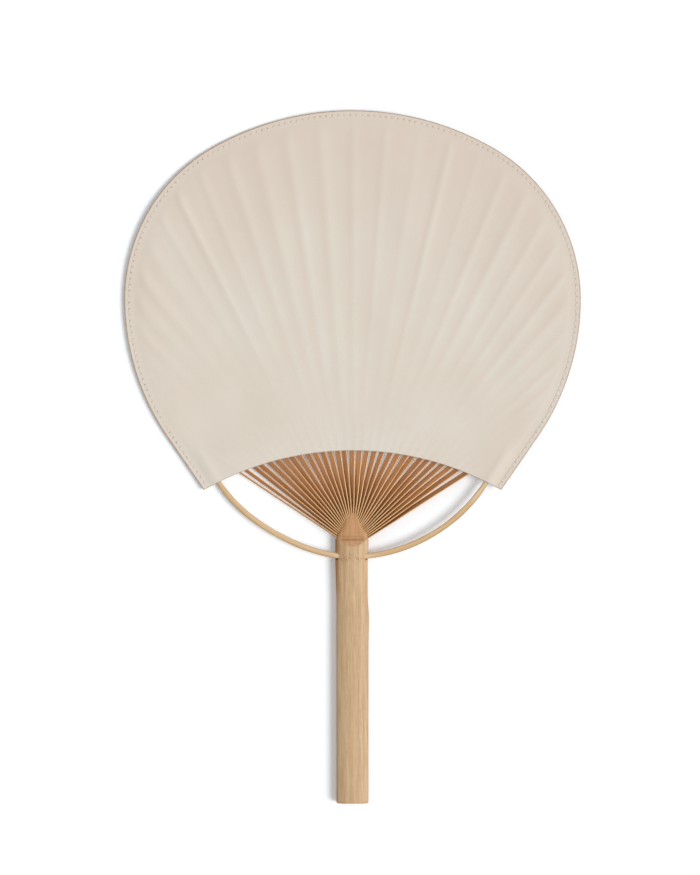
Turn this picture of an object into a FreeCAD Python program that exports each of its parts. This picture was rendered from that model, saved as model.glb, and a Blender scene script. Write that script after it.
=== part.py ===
"""Round hand fan: a bamboo handle split into fanned ribs, a bamboo bow and two stitched leather sheets.

The fan lies on its back. X runs across the blade, +Y from the handle to the top of the blade and Z up
out of the front face. The origin is under the middle of the length and width, on the surface that the
flat back of the handle lies on. All sizes are in millimetres and all angles in degrees.
"""
import math
import os

import FreeCAD
import Part

# Blade outline
blade_width = 251.0  # across the widest line
blade_crown_rise = 103.8  # widest line up to the top
blade_crown_angle = 29.8  # half the turn of the flattened arc over the top
blade_skirt_drop = 105.0  # widest line down to the lower corners
blade_flank_bend_share = 0.53  # of the lean from side to corner: 0 keeps the flank straight, 1 all arc
blade_corner_span = 163.5  # between the two lower corners
blade_plane_height = 5.2  # middle of the blade above the back of the handle
mouth_rise = 21.7  # arch of the lower edge
mouth_reach = 51.9  # point that the ribs fan out from, up to the crown of the lower edge

# Leather sheets
leather_thickness = 0.9
leather_clearance = 0.08  # room over what lies between the sheets
seam_band_width = 4.5  # flat band along the rim where the two sheets meet
rim_slope_width = 12.0  # band beside it where the sheets part
rim_slope_height = 1.7
pleat_ridge_gap = 0.36  # ridge of the leather over the face of a rib
pleat_valley_height = 0.2  # leather above the middle plane between two ribs
flare_fade_length = 20.0  # lacing up to where the widened mouth has closed
tunnel_slope_width = 2.6  # sloped sides of the raised leather over a bow end

# Seam along the rim
seam_inset = 2.5
seam_end_gap = 2.0  # lower corner up to the first stitch
stitch_pitch = 3.3
stitch_gap = 0.7  # between two stitches
stitch_width = 0.6

# Handle
handle_reach = 142.0  # point that the ribs fan out from, down to the end of the handle
handle_width = 17.6
handle_thickness = 7.8
handle_side_height = 5.0  # upright part of the side, below the domed front
handle_crown_angle = 27.0  # half the turn of the gentle arc over the front
handle_back_round = 0.8
handle_end_round = 1.0  # end seen from the side
handle_corner_round = 1.6  # end corners seen from the front
shoulder_height = 3.3  # top of the handle body, above the point that the ribs fan out from
scoop_length = 4.1  # slope from the full handle to the thin head
scoop_land = 0.3  # level strip between the slope and the shoulder
tongue_height = 14.3  # blunt head that the roots of the ribs stand round
tongue_crown_angle = 50.0  # half the turn of the tight arc over the tip of the head

# Ribs
rib_count = 31
rib_depth = 3.4  # wide way of the slice
rib_row_margin = 1.05  # side of the handle to the side of the head
rib_kerf = 0.04  # taken away between two slices
rib_mouth_tilt = 20.0  # from lying flat, where the rib goes under the leather
rib_rim_margin = 11.0  # tip to the cut edge of the leather
rib_bow_space = 11.4  # outermost rib to the bow, along the lower edge
rib_bow_clearance = 0.4
rib_open_stations = 4  # cross sections between root and lower edge

# Bow
bow_width = 3.2
bow_thickness = 2.6
bow_edge_share = 0.35  # bevel of the long edges, of half the thickness
bow_tip_width = 2.4
bow_tip_thickness = 1.5
bow_drop = 6.4  # point that the ribs fan out from, down to the lowest point of the bow
bow_corner_inset = 8.2  # lower corner of the blade to the bow, across
bow_tuck_past_lacing = 2.0
bow_hole_clearance = 0.2

# Lacing thread
lacing_diameter = 0.45
lacing_clearance = 0.04
lacing_inset = 12.0  # lower edge to the woven line
lacing_turns = 4  # round each end of the bow
lacing_turn_pitch = 0.9
lacing_sides = 6
rib_flat_before_lacing = 2.0  # ribs lie flat this far before the woven line

# Cuts run past the material by this much
overrun = 5.0

up = FreeCAD.Vector(0, 0, 1)


def point(x, y, z=0):
    return FreeCAD.Vector(x, y, z)


def heading(angle):
    """Unit vector in the level plane, at an angle in radians from +X."""
    return point(math.cos(angle), math.sin(angle))


def arch_radii(half_span, rise, crown_angle):
    """Crown and shoulder radii of a three-centred arch."""
    sine = math.sin(crown_angle)
    cosine = math.cos(crown_angle)
    spread = sine * cosine - (1 - sine) * (1 - cosine)
    crown = (half_span * cosine - rise * (1 - sine)) / spread
    shoulder = (rise * sine - half_span * (1 - cosine)) / spread
    return crown, shoulder


def prism(points, height):
    """Upright prism on a closed level polygon."""
    outline = Part.makePolygon(points + points[:1])
    return Part.Face(outline).extrude(up * height)


# Places along the length, with the whole fan centred on Y
blade_reach = mouth_reach - mouth_rise + blade_skirt_drop + blade_crown_rise
fan_y = (handle_reach - blade_reach) / 2
mouth_y = fan_y + mouth_reach
corner_y = mouth_y - mouth_rise
widest_y = corner_y + blade_skirt_drop
top_y = widest_y + blade_crown_rise
handle_end_y = fan_y - handle_reach
shoulder_y = fan_y + shoulder_height
fan_point = point(0, fan_y)

# Rim arcs
half_blade = blade_width / 2
half_corner = blade_corner_span / 2
crown_turn = math.radians(blade_crown_angle)
crown_radius, shoulder_radius = arch_radii(half_blade, blade_crown_rise, crown_turn)
flank_lean = math.atan2(half_blade - half_corner, blade_skirt_drop) * (1 + blade_flank_bend_share)
side_radius = (
    blade_skirt_drop * math.sin(flank_lean) - (half_blade - half_corner) * math.cos(flank_lean)
) / (1 - math.cos(flank_lean))

# Arched lower edge
mouth_radius = (half_corner**2 + mouth_rise**2) / (2 * mouth_rise)
mouth_centre = point(0, mouth_y - mouth_radius)

# Rib roots and the places where ribs and bow cross the lower edge
half_row = handle_width / 2 - rib_row_margin
rib_thickness = 2 * half_row / rib_count - rib_kerf
half_count = rib_count // 2
bow_mouth_x = half_corner - bow_corner_inset
mouth_pitch = (bow_mouth_x - rib_bow_space) / half_count

# Head: an arch of one tight arc over the tip and two cheeks, shared evenly between the ribs
tongue_turn = math.radians(tongue_crown_angle)
tip_radius, cheek_radius = arch_radii(half_row, tongue_height, tongue_turn)
tip_run = tip_radius * tongue_turn
cheek_run = cheek_radius * (math.pi / 2 - tongue_turn)
root_pitch = 2 * (tip_run + cheek_run) / rib_count

# Weave of the lacing
lacing_radius = lacing_diameter / 2
lacing_lift = rib_thickness / 2 + lacing_clearance + lacing_radius
lacing_circle = mouth_radius + lacing_inset
rib_flat_inset = lacing_inset - rib_flat_before_lacing


def mouth_point(x):
    return point(x, mouth_centre.y + math.sqrt(mouth_radius**2 - x**2))


def head_point(run):
    """Place on the arched edge of the head, at a run from its tip, to the right if positive."""
    past_tip = max(abs(run) - tip_run, 0)
    turn = (abs(run) - past_tip) / tip_radius + past_tip / cheek_radius
    outward = point(math.sin(turn), math.cos(turn))
    if past_tip > 0:
        place = point(half_row - cheek_radius, shoulder_y) + outward * cheek_radius
    else:
        place = point(0, shoulder_y + tongue_height - tip_radius) + outward * tip_radius
    return point(math.copysign(place.x, run), place.y)


# One flat of the head to each rib, from the left to the right
head_corners = [head_point((number - rib_count / 2) * root_pitch) for number in range(rib_count + 1)]


def run_to_circle(start, way, radius):
    """Run from a start, along a unit way, out to a circle about the centre of the lower edge."""
    offset = start - mouth_centre
    along = offset.dot(way)
    return math.sqrt(along**2 - offset.dot(offset) + radius**2) - along


# Bow: one arc through the handle and both places on the lower edge, then a straight tuck
bow_low = point(0, fan_y - bow_drop)
bow_entry = mouth_point(bow_mouth_x)
bow_climb = bow_entry.y - bow_low.y
bow_radius = (bow_mouth_x**2 + bow_climb**2) / (2 * bow_climb)
bow_centre = point(0, bow_low.y + bow_radius)
bow_turn = 2 * math.atan2(bow_climb, bow_mouth_x)
tuck_way = heading(bow_turn)
tuck_across = point(tuck_way.y, -tuck_way.x)
lacing_on_tuck = run_to_circle(bow_entry, tuck_way, lacing_circle)
tuck_length = lacing_on_tuck + bow_tuck_past_lacing


def bow_half_sizes(run):
    """Half width and half thickness of the bow, at a run into the tapered tuck."""
    taper = run / tuck_length
    half_width = (bow_width + (bow_tip_width - bow_width) * taper) / 2
    half_thickness = (bow_thickness + (bow_tip_thickness - bow_thickness) * taper) / 2
    return half_width, half_thickness


def bow_corners(run, offset):
    """Corners of the bevelled section, (across, up), grown outwards by an offset."""
    half_width, half_thickness = bow_half_sizes(run)
    bevel = half_thickness * bow_edge_share - offset * math.tan(math.pi / 8)
    wide = half_width + offset
    tall = half_thickness + offset
    narrow = half_width - bevel
    low = half_thickness - bevel
    return [
        (-narrow, -tall),
        (narrow, -tall),
        (wide, -low),
        (wide, low),
        (narrow, tall),
        (-narrow, tall),
        (-wide, low),
        (-wide, -low),
    ]


# Half height of the hollow along a tucked bow end, which also holds the turns of thread
wrap_start_run = lacing_on_tuck - lacing_turns * lacing_turn_pitch
wrap_half_height = bow_half_sizes(wrap_start_run)[1] + lacing_clearance + lacing_diameter
tunnel_height = max(bow_thickness / 2, wrap_half_height) + leather_clearance


def arc(centre, radius, start, end):
    """Level arc between two angles in radians."""
    middle = (start + end) / 2
    ends = [centre + heading(angle) * radius for angle in (start, middle, end)]
    return Part.Arc(*ends).toShape()


def rim_edges(inset, end_y):
    """Edges of the round rim at an inset from the cut edge, left flank over the top to right flank."""
    quarter = math.pi / 2
    halves = {}
    for side in (-1, 1):
        shoulder_at = point(side * (half_blade - shoulder_radius), widest_y)
        side_at = point(side * (half_blade - side_radius), widest_y)
        outward = quarter - side * quarter
        tangent = outward - side * flank_lean
        flank_top = side_at + heading(tangent) * (side_radius - inset)
        flank_run = (flank_top.y - end_y) * math.tan(flank_lean)
        flank_foot = point(flank_top.x - side * flank_run, end_y)
        halves[side] = [
            Part.makeLine(flank_foot, flank_top),
            arc(side_at, side_radius - inset, tangent, outward),
            arc(shoulder_at, shoulder_radius - inset, outward, quarter - side * crown_turn),
        ]
    crown_at = point(0, top_y - crown_radius)
    crown = arc(crown_at, crown_radius - inset, quarter + crown_turn, quarter - crown_turn)
    return halves[-1] + [crown] + halves[1][::-1]


def rim_outline(inset, z):
    """Closed blade outline at a height, which runs on below the lower edge."""
    edges = rim_edges(inset, corner_y - overrun)
    feet = [edges[side].Vertexes[0].Point for side in (-1, 0)]
    outline = Part.Wire(edges + [Part.makeLine(*feet)])
    outline.translate(up * z)
    return outline


rib_limit = Part.Wire(rim_edges(rib_rim_margin, corner_y - overrun))


def rib_line(index):
    """Root, place on the lower edge, way into the blade and run in the blade of one rib."""
    left, right = head_corners[index + half_count : index + half_count + 2]
    root = (left + right) / 2
    entry = mouth_point(index * mouth_pitch)
    way = (entry - fan_point).normalize()
    far = entry + way * blade_reach
    tip = Part.makeLine(entry, far).section(rib_limit).Vertexes[0].Point
    run = (tip - entry).Length
    across = point(math.copysign(tuck_across.x, index), tuck_across.y)
    bow_at = point(math.copysign(bow_entry.x, index), bow_entry.y)
    beside_bow = (bow_at - entry).dot(across) - (bow_width + rib_depth) / 2 - rib_bow_clearance
    closing = way.dot(across)
    if closing > 0:
        run = min(run, beside_bow / closing)
    return root, entry, way, run


def rib_section(place, wide, thin):
    """Four-cornered section of a rib, from the ways of its width and its thickness."""
    half_wide = wide * (rib_depth / 2)
    half_thin = thin * (rib_thickness / 2)
    corners = [place + half_wide + half_thin, place - half_wide + half_thin]
    corners += [place - half_wide - half_thin, place + half_wide - half_thin]
    return Part.makePolygon(corners + corners[:1])


def rib_across(place, way, tilt):
    """Section square to a rib, its right edge raised by the tilt."""
    wide = point(way.y, -way.x) * math.cos(tilt) + up * math.sin(tilt)
    return rib_section(place, wide, wide.cross(way))


def rib_root(index, place, way):
    """Upright section in the flat of the head that the root of a rib sits on."""
    face_way = head_corners[index + half_count + 1] - head_corners[index + half_count]
    across = point(way.y, -way.x)
    return rib_section(place, up, face_way / face_way.dot(across))


def make_rib(index):
    """One slice, on edge at its root and turning flat under the leather."""
    root, entry, way, run = rib_line(index)
    open_way = (entry - root).normalize()
    mouth_tilt = math.radians(rib_mouth_tilt)
    root_tilt = math.pi / 2
    sections = [rib_root(index, root, open_way)]
    for station in range(1, rib_open_stations):
        share = station / rib_open_stations
        tilt = root_tilt + (mouth_tilt - root_tilt) * share
        sections.append(rib_across(root + (entry - root) * share, open_way, tilt))
    sections.append(rib_across(entry, (open_way + way).normalize(), mouth_tilt))
    flat_run = run_to_circle(entry, way, mouth_radius + rib_flat_inset)
    sections.append(rib_across(entry + way * flat_run, way, 0))
    sections.append(rib_across(entry + way * run, way, 0))
    return Part.makeLoft(sections, True, True)


def make_handle():
    """Domed bar with rounded end, scooped neck, arched head and the cross hole for the bow."""
    half_width = handle_width / 2
    crown, shoulder = arch_radii(
        half_width, handle_thickness - handle_side_height, math.radians(handle_crown_angle)
    )
    turn = math.radians(handle_crown_angle)
    dome = [point(half_width - handle_back_round, 0)]
    dome.append(point(half_width - handle_back_round * (1 - math.sqrt(1 / 2)),
                      handle_back_round * (1 - math.sqrt(1 / 2))))
    dome.append(point(half_width, handle_back_round))
    dome.append(point(half_width, handle_side_height))
    shoulder_at = point(half_width - shoulder, handle_side_height)
    dome.append(shoulder_at + heading((math.pi / 2 - turn) / 2) * shoulder)
    dome.append(shoulder_at + heading(math.pi / 2 - turn) * shoulder)
    left = [point(-place.x, place.y) for place in dome]
    edges = [
        Part.makeLine(left[0], dome[0]),
        Part.Arc(dome[0], dome[1], dome[2]).toShape(),
        Part.makeLine(dome[2], dome[3]),
        Part.Arc(dome[3], dome[4], dome[5]).toShape(),
        Part.Arc(dome[5], point(0, handle_thickness), left[5]).toShape(),
        Part.Arc(left[5], left[4], left[3]).toShape(),
        Part.makeLine(left[3], left[2]),
        Part.Arc(left[2], left[1], left[0]).toShape(),
    ]
    body_length = shoulder_y - handle_end_y
    section = Part.Face(Part.Wire(edges))
    section.rotate(point(0, 0), point(1, 0), math.degrees(math.pi / 2))
    section.translate(point(0, handle_end_y))
    body = section.extrude(point(0, body_length))
    body = body.common(handle_side_view()).common(handle_front_view())
    land = point(0, scoop_land)
    head = prism([head_corners[0] - land] + head_corners + [head_corners[-1] - land], rib_depth)
    head.translate(up * (blade_plane_height - rib_depth / 2))
    return body.fuse(head).cut(bow_hole()).removeSplitter()


def handle_side_view():
    """Handle seen from the side, as a slab across X: rounded end and slopes down to the head."""
    slope_foot = shoulder_y - scoop_land
    slope_top = slope_foot - scoop_length
    head_back = blade_plane_height - rib_depth / 2
    head_front = blade_plane_height + rib_depth / 2
    round_y = handle_end_y + handle_end_round
    back_round = point(round_y, handle_end_round)
    front_round = point(round_y, handle_thickness - handle_end_round)
    quarter = math.pi / 2
    back_arc = arc(back_round, handle_end_round, 2 * quarter, 3 * quarter)
    front_arc = arc(front_round, handle_end_round, quarter, 2 * quarter)
    run = [
        point(round_y, 0),
        point(slope_top, 0),
        point(slope_foot, head_back),
        point(shoulder_y, head_back),
        point(shoulder_y, head_front),
        point(slope_foot, head_front),
        point(slope_top, handle_thickness),
        point(round_y, handle_thickness),
    ]
    end_line = Part.makeLine(front_arc.Vertexes[-1].Point, back_arc.Vertexes[0].Point)
    outline = Part.Wire([back_arc] + Part.makePolygon(run).Edges + [front_arc, end_line])
    slab = Part.Face(outline).extrude(up * (handle_width + 2 * overrun))
    # A third of a turn about the space diagonal takes X to Y, Y to Z and Z to X
    slab.rotate(point(0, 0), FreeCAD.Vector(1, 1, 1), math.degrees(2 * math.pi / 3))
    slab.translate(point(-handle_width / 2 - overrun, 0))
    return slab


def handle_front_view():
    """Handle seen from the front, as an upright slab with rounded end corners."""
    half_width = handle_width / 2
    round_y = handle_end_y + handle_corner_round
    round_x = half_width - handle_corner_round
    half_turn = math.pi
    corners = [
        arc(point(-round_x, round_y), handle_corner_round, half_turn, 3 * half_turn / 2),
        Part.makeLine(point(-round_x, handle_end_y), point(round_x, handle_end_y)),
        arc(point(round_x, round_y), handle_corner_round, -half_turn / 2, 0),
        Part.makeLine(point(half_width, round_y), point(half_width, shoulder_y)),
        Part.makeLine(point(half_width, shoulder_y), point(-half_width, shoulder_y)),
        Part.makeLine(point(-half_width, shoulder_y), point(-half_width, round_y)),
    ]
    return Part.Face(Part.Wire(corners)).extrude(up * handle_thickness)


def bow_hole():
    """Drill across the handle, wide enough for the bow to curve inside it."""
    half_handle = handle_width / 2
    sag = bow_radius - math.sqrt(bow_radius**2 - half_handle**2)
    corners = bow_corners(0, 0)
    reach = max(math.hypot(abs(across) + sag / 2, tall) for across, tall in corners)
    start = point(-half_handle - overrun, bow_low.y + sag / 2, blade_plane_height)
    return Part.makeCylinder(
        reach + bow_hole_clearance, handle_width + 2 * overrun, start, point(1, 0)
    )


def bow_section(run):
    """Closed section of the right end of the bow, at a run into the tuck."""
    place = bow_entry + tuck_way * run
    corners = [place + tuck_across * across + up * tall for across, tall in bow_corners(run, 0)]
    return Part.makePolygon(corners + corners[:1])


def make_bow():
    """Bent rod: an arc between the two places on the lower edge and a tapered tuck at each end."""
    bend = Part.Face(bow_section(0)).revolve(bow_centre, up, -math.degrees(2 * bow_turn))
    tuck = Part.makeLoft([bow_section(0), bow_section(tuck_length)], True, True)
    return bend.fuse([tuck, mirrored(tuck)])


def mirrored(shape):
    """The same shape on the other side of the fan."""
    return shape.mirror(point(0, 0), point(1, 0))


def tube(path, radius, sides):
    """Thread through a list of points, as a ruled loft of polygons turned as little as possible."""
    sections = []
    normal = up
    for here, place in enumerate(path):
        before = path[max(here - 1, 0)]
        after = path[min(here + 1, len(path) - 1)]
        tangent = (after - before).normalize()
        normal = (normal - tangent * normal.dot(tangent)).normalize()
        binormal = tangent.cross(normal)
        ring = []
        for corner in range(sides):
            angle = 2 * math.pi * corner / sides
            ring.append(place + (normal * math.cos(angle) + binormal * math.sin(angle)) * radius)
        sections.append(Part.makePolygon(ring + ring[:1]))
    return Part.makeLoft(sections, True, True)


def lacing_half_path():
    """Right half of the lacing: over the middle rib, under the next, and so on, then round the bow end."""
    path = []
    for index in range(half_count + 1):
        root, entry, way, run = rib_line(index)
        crossing = entry + way * run_to_circle(entry, way, lacing_circle)
        outward = (crossing - mouth_centre).normalize()
        along = point(outward.y, -outward.x)
        square = abs(along.dot(point(way.y, -way.x)))
        half_run = rib_depth / 2 / square + lacing_radius + lacing_clearance
        lift = up * lacing_lift * (-1) ** index
        if index > 0:
            path.append(crossing - along * half_run + lift)
        path.append(crossing + along * half_run + lift)
    points_per_turn = len(bow_corners(0, 0))
    for step in range(lacing_turns * points_per_turn):
        run = lacing_on_tuck - lacing_turn_pitch * step / points_per_turn
        across, tall = bow_corners(run, lacing_radius + lacing_clearance)[step % points_per_turn]
        path.append(bow_entry + tuck_way * run + tuck_across * across + up * tall)
    return path


def make_lacing():
    """One unbroken thread from the turns on one bow end, through the ribs, to the turns on the other."""
    half = lacing_half_path()
    left = [point(-place.x, place.y, place.z) for place in half]
    path = left[::-1] + half
    gaps = []
    turn_points = len(bow_corners(0, 0))
    for first in range(len(half) - turn_points):
        if first >= len(half) - lacing_turns * turn_points:
            gaps.append((half[first] - half[first + turn_points]).Length - lacing_diameter)
    print("least gap between turns of thread, mm:", round(min(gaps), 2))
    return tube(path, lacing_radius, lacing_sides)


def rim_slopes():
    """Low block whose walls slope in from the seam band, the most room there is between the sheets."""
    foot = rim_outline(seam_band_width, 0)
    roof = rim_outline(seam_band_width + rim_slope_width, rim_slope_height)
    return Part.makeLoft([foot, roof], True, True)


def pleats():
    """Block whose top is pleated in straight ridges, one over each rib, fanned out from one point."""
    ridge = rib_thickness / 2 + pleat_ridge_gap
    angles = []
    for index in range(-half_count, half_count + 1):
        way = mouth_point(index * mouth_pitch) - fan_point
        angles.append(math.atan2(way.x, way.y))
    last_step = angles[-1] - angles[-2]
    angles.append(angles[-1] + last_step)
    edge_angle = math.atan2(half_corner, corner_y - fan_y) + last_step
    profile = [(-edge_angle, pleat_valley_height), (-sum(angles[-2:]) / 2, pleat_valley_height)]
    for angle, following in zip(angles, angles[1:]):
        profile.append((angle, ridge))
        profile.append(((angle + following) / 2, pleat_valley_height))
    profile.append((edge_angle, pleat_valley_height))
    sections = []
    for y in (corner_y - overrun, top_y + overrun):
        top = [point((y - fan_y) * math.tan(angle), y, z) for angle, z in profile]
        foot = [point(top[-1].x, y, -overrun), point(top[0].x, y, -overrun)]
        sections.append(Part.makePolygon(top + foot + top[:1]))
    return Part.makeLoft(sections, True, True)


def mouth_flare():
    """Ring that widens the hollow along the lower edge, for the tilted ribs and the woven thread."""
    tilt = math.radians(rib_mouth_tilt)
    rib_rise = (rib_depth * math.sin(tilt) + rib_thickness * math.cos(tilt)) / 2
    mouth_height = rib_rise + leather_clearance
    lacing_height = lacing_lift + lacing_radius + leather_clearance
    faded = lacing_circle + flare_fade_length
    profile = [
        (mouth_radius - overrun, -overrun),
        (mouth_radius - overrun, mouth_height),
        (mouth_radius, mouth_height),
        (lacing_circle + lacing_diameter, lacing_height),
        (faded, pleat_valley_height),
        (faded, -overrun),
    ]
    corners = [mouth_centre + point(radius, 0, z) for radius, z in profile]
    section = Part.Face(Part.makePolygon(corners + corners[:1]))
    return section.revolve(mouth_centre, up, math.degrees(2 * math.pi))


def bow_tunnel():
    """Sloped block over the right tuck of the bow and its turns of thread."""
    half_width = (bow_width + 2 * (lacing_diameter + lacing_clearance + leather_clearance)) / 2
    blocks = []
    for spread, z in ((tunnel_slope_width, 0), (0, tunnel_height)):
        far = tuck_length + leather_clearance + spread
        side = half_width + spread
        corners = []
        for run, across in ((-overrun, -side), (-overrun, side), (far, side), (far, -side)):
            corners.append(bow_entry + tuck_way * run + tuck_across * across + up * z)
        blocks.append(Part.makePolygon(corners + corners[:1]))
    return Part.makeLoft(blocks, True, True)


def make_leather():
    """Front sheet: flat at the seam, pleated over ribs, flared at the mouth, raised over bow ends."""
    slopes = rim_slopes()
    inside_seam = Part.Face(rim_outline(seam_band_width, 0)).extrude(up * tunnel_height)
    tunnel = bow_tunnel().common(inside_seam)
    room = pleats().common(slopes).fuse(mouth_flare().common(slopes))
    room = room.fuse([tunnel, mirrored(tunnel)])
    sheet = Part.Face(rim_outline(0, 0)).extrude(up * leather_thickness)
    sheet = sheet.fuse(room.translated(up * leather_thickness)).cut(room)
    below = mouth_centre - up * overrun
    mouth = Part.makeCylinder(mouth_radius, rim_slope_height + 2 * overrun, below)
    return sheet.cut(mouth).removeSplitter()


def make_stitches():
    """Front row of stitches: half-round lengths of thread lying on the seam band."""
    seam = Part.Wire(rim_edges(seam_inset, corner_y + seam_end_gap))
    count = round(seam.Length / stitch_pitch)
    length = stitch_pitch - stitch_gap
    half_width = stitch_width / 2
    low = [point(-length / 2, side * half_width) for side in (-1, 1)]
    bead = Part.Arc(low[0], point(-length / 2, 0, half_width), low[1]).toShape()
    section = Part.Face(Part.Wire([bead, Part.makeLine(low[1], low[0])]))
    stitch = section.extrude(point(length, 0))
    row = []
    places = seam.discretize(Number=count + 1)
    for start, end in zip(places, places[1:]):
        turned = stitch.copy()
        turned.rotate(point(0, 0), up, math.degrees(math.atan2(end.y - start.y, end.x - start.x)))
        row.append(turned.translated((start + end) / 2 + up * leather_thickness))
    return Part.makeCompound(row)


def flipped(shape):
    """The same shape on the back of the blade."""
    return shape.mirror(point(0, 0), up)


def make_nodes():
    """Every piece by name, in its place."""
    in_blade = {"bow": make_bow(), "lacing_thread": make_lacing()}
    leather = make_leather()
    stitches = make_stitches()
    in_blade["front_leather"] = leather
    in_blade["back_leather"] = flipped(leather)
    in_blade["front_stitches"] = stitches
    in_blade["back_stitches"] = flipped(stitches)
    for number in range(rib_count):
        in_blade[f"rib_{number + 1:02d}"] = make_rib(number - half_count)
    nodes = {name: shape.translated(up * blade_plane_height) for name, shape in in_blade.items()}
    nodes["handle"] = make_handle()
    return nodes


os.makedirs("parts", exist_ok=True)
for name, shape in make_nodes().items():
    shape.exportStep(f"parts/{name}.step")
    print(name, "solids", len(shape.Solids), "mm3", round(shape.Volume, 1), "valid", shape.isValid())
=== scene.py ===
# %% [markdown]
# # A round bamboo fan with two leather faces
#
# The fan is a length of bamboo that is a handle below and is split into thin ribs above. A bow holds the
# ribs fanned out, and two sheets of leather are sewn together round them. The solid model gives every
# piece its place, so this lesson loads it first and then makes each piece again, finer, in that place.

# %% Load the solid model
import math

import bmesh
import bpy
import numpy as np
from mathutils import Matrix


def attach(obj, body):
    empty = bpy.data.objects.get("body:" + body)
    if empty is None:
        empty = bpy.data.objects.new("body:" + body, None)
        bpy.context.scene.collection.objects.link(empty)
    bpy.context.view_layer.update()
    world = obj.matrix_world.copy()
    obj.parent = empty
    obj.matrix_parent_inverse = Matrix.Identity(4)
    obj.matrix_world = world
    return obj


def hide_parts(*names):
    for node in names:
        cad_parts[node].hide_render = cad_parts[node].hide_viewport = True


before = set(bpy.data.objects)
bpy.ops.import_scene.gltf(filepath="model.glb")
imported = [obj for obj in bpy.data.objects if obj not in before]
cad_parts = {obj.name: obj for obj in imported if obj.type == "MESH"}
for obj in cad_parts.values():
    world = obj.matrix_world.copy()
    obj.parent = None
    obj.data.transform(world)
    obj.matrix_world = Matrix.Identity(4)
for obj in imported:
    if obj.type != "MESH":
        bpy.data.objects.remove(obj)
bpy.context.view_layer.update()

# %% [markdown]
# ## The measures of the fan
#
# The fan lies on its back: X runs across, +Y from the handle to the top of the blade and Z up out of the
# front. One could measure the loaded pieces instead, but the fan is made of arcs and straight lines, and
# with their few sizes every new piece can be worked out to any fineness. All sizes are in metres.

# %% Sizes of the blade
mm = 0.001
quarter_turn = math.pi / 2
full_turn = 2 * math.pi
blade_width = 251 * mm
blade_crown_rise = 103.8 * mm
blade_crown_turn = math.radians(29.8)
blade_skirt_drop = 105 * mm
blade_flank_bend_share = 0.53
blade_corner_span = 163.5 * mm
blade_plane_height = 5.2 * mm
mouth_rise = 21.7 * mm
mouth_reach = 51.9 * mm
handle_reach = 142 * mm

blade_reach = mouth_reach - mouth_rise + blade_skirt_drop + blade_crown_rise
fan_y = (handle_reach - blade_reach) / 2
mouth_y = fan_y + mouth_reach
corner_y = mouth_y - mouth_rise
widest_y = corner_y + blade_skirt_drop
top_y = widest_y + blade_crown_rise
handle_end_y = fan_y - handle_reach
half_blade = blade_width / 2
half_corner = blade_corner_span / 2
fan_point = np.array([0, fan_y])
print("blade from y", round(corner_y, 4), "to", round(top_y, 4), "m")


# %% Arcs of the rim and of the arched lower edge
def arch_radii(half_span, rise, crown_turn):
    """Crown and shoulder radii of a three-centred arch."""
    sine = math.sin(crown_turn)
    cosine = math.cos(crown_turn)
    spread = sine * cosine - (1 - sine) * (1 - cosine)
    crown = (half_span * cosine - rise * (1 - sine)) / spread
    shoulder = (rise * sine - half_span * (1 - cosine)) / spread
    return crown, shoulder


crown_radius, shoulder_radius = arch_radii(half_blade, blade_crown_rise, blade_crown_turn)
flank_lean = math.atan2(half_blade - half_corner, blade_skirt_drop) * (1 + blade_flank_bend_share)
side_radius = (
    blade_skirt_drop * math.sin(flank_lean) - (half_blade - half_corner) * math.cos(flank_lean)
) / (1 - math.cos(flank_lean))
mouth_radius = (half_corner**2 + mouth_rise**2) / (2 * mouth_rise)
mouth_centre = np.array([0, mouth_y - mouth_radius])
print("rim radii", [round(r, 4) for r in (crown_radius, shoulder_radius, side_radius)], "m")

# %% Sizes of the ribs, the bow and the woven thread
handle_width = 17.6 * mm
rib_count = 31
half_count = rib_count // 2
rib_row_margin = 1.05 * mm
rib_kerf = 0.04 * mm
rib_depth = 3.4 * mm
rib_rim_margin = 11 * mm
rib_flat_margin = 2 * mm
rib_bow_space = 11.4 * mm
rib_bow_clearance = 0.4 * mm
bow_width = 3.2 * mm
bow_thickness = 2.6 * mm
bow_drop = 6.4 * mm
bow_corner_inset = 8.2 * mm
lacing_inset = 12 * mm
lacing_diameter = 0.45 * mm
tuck_past_lacing = 2 * mm
shoulder_rise = 3.3 * mm
tongue_height = 14.3 * mm
tongue_turn = math.radians(50)

half_handle = handle_width / 2
half_row = half_handle - rib_row_margin
rib_thickness = 2 * half_row / rib_count - rib_kerf
tip_radius, cheek_radius = arch_radii(half_row, tongue_height, tongue_turn)
tip_run = tip_radius * tongue_turn
cheek_run = cheek_radius * (quarter_turn - tongue_turn)
root_pitch = 2 * (tip_run + cheek_run) / rib_count
bow_mouth_x = half_corner - bow_corner_inset
mouth_pitch = (bow_mouth_x - rib_bow_space) / half_count
shoulder_y = fan_y + shoulder_rise
tongue_tip_y = shoulder_y + tongue_height
lacing_circle = mouth_radius + lacing_inset
rib_flat_circle = lacing_circle - rib_flat_margin


def mouth_point(x):
    """Place on the arched lower edge."""
    return np.array([x, mouth_centre[1] + math.sqrt(mouth_radius**2 - x**2)])


def head_point(run):
    """Place on the arched edge of the head, at a run from its tip, to the right if positive."""
    past_tip = max(abs(run) - tip_run, 0)
    turn = (abs(run) - past_tip) / tip_radius + past_tip / cheek_radius
    outward = np.array([math.sin(turn), math.cos(turn)])
    if past_tip > 0:
        place = np.array([half_row - cheek_radius, shoulder_y]) + outward * cheek_radius
    else:
        place = np.array([0, tongue_tip_y - tip_radius]) + outward * tip_radius
    return place * (math.copysign(1, run), 1)


def run_to_circle(start, way, radius):
    """Run from a start, along a unit way, out to a circle about the centre of the lower edge."""
    offset = start - mouth_centre
    along = offset @ way
    return math.sqrt(along**2 - offset @ offset + radius**2) - along


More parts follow.
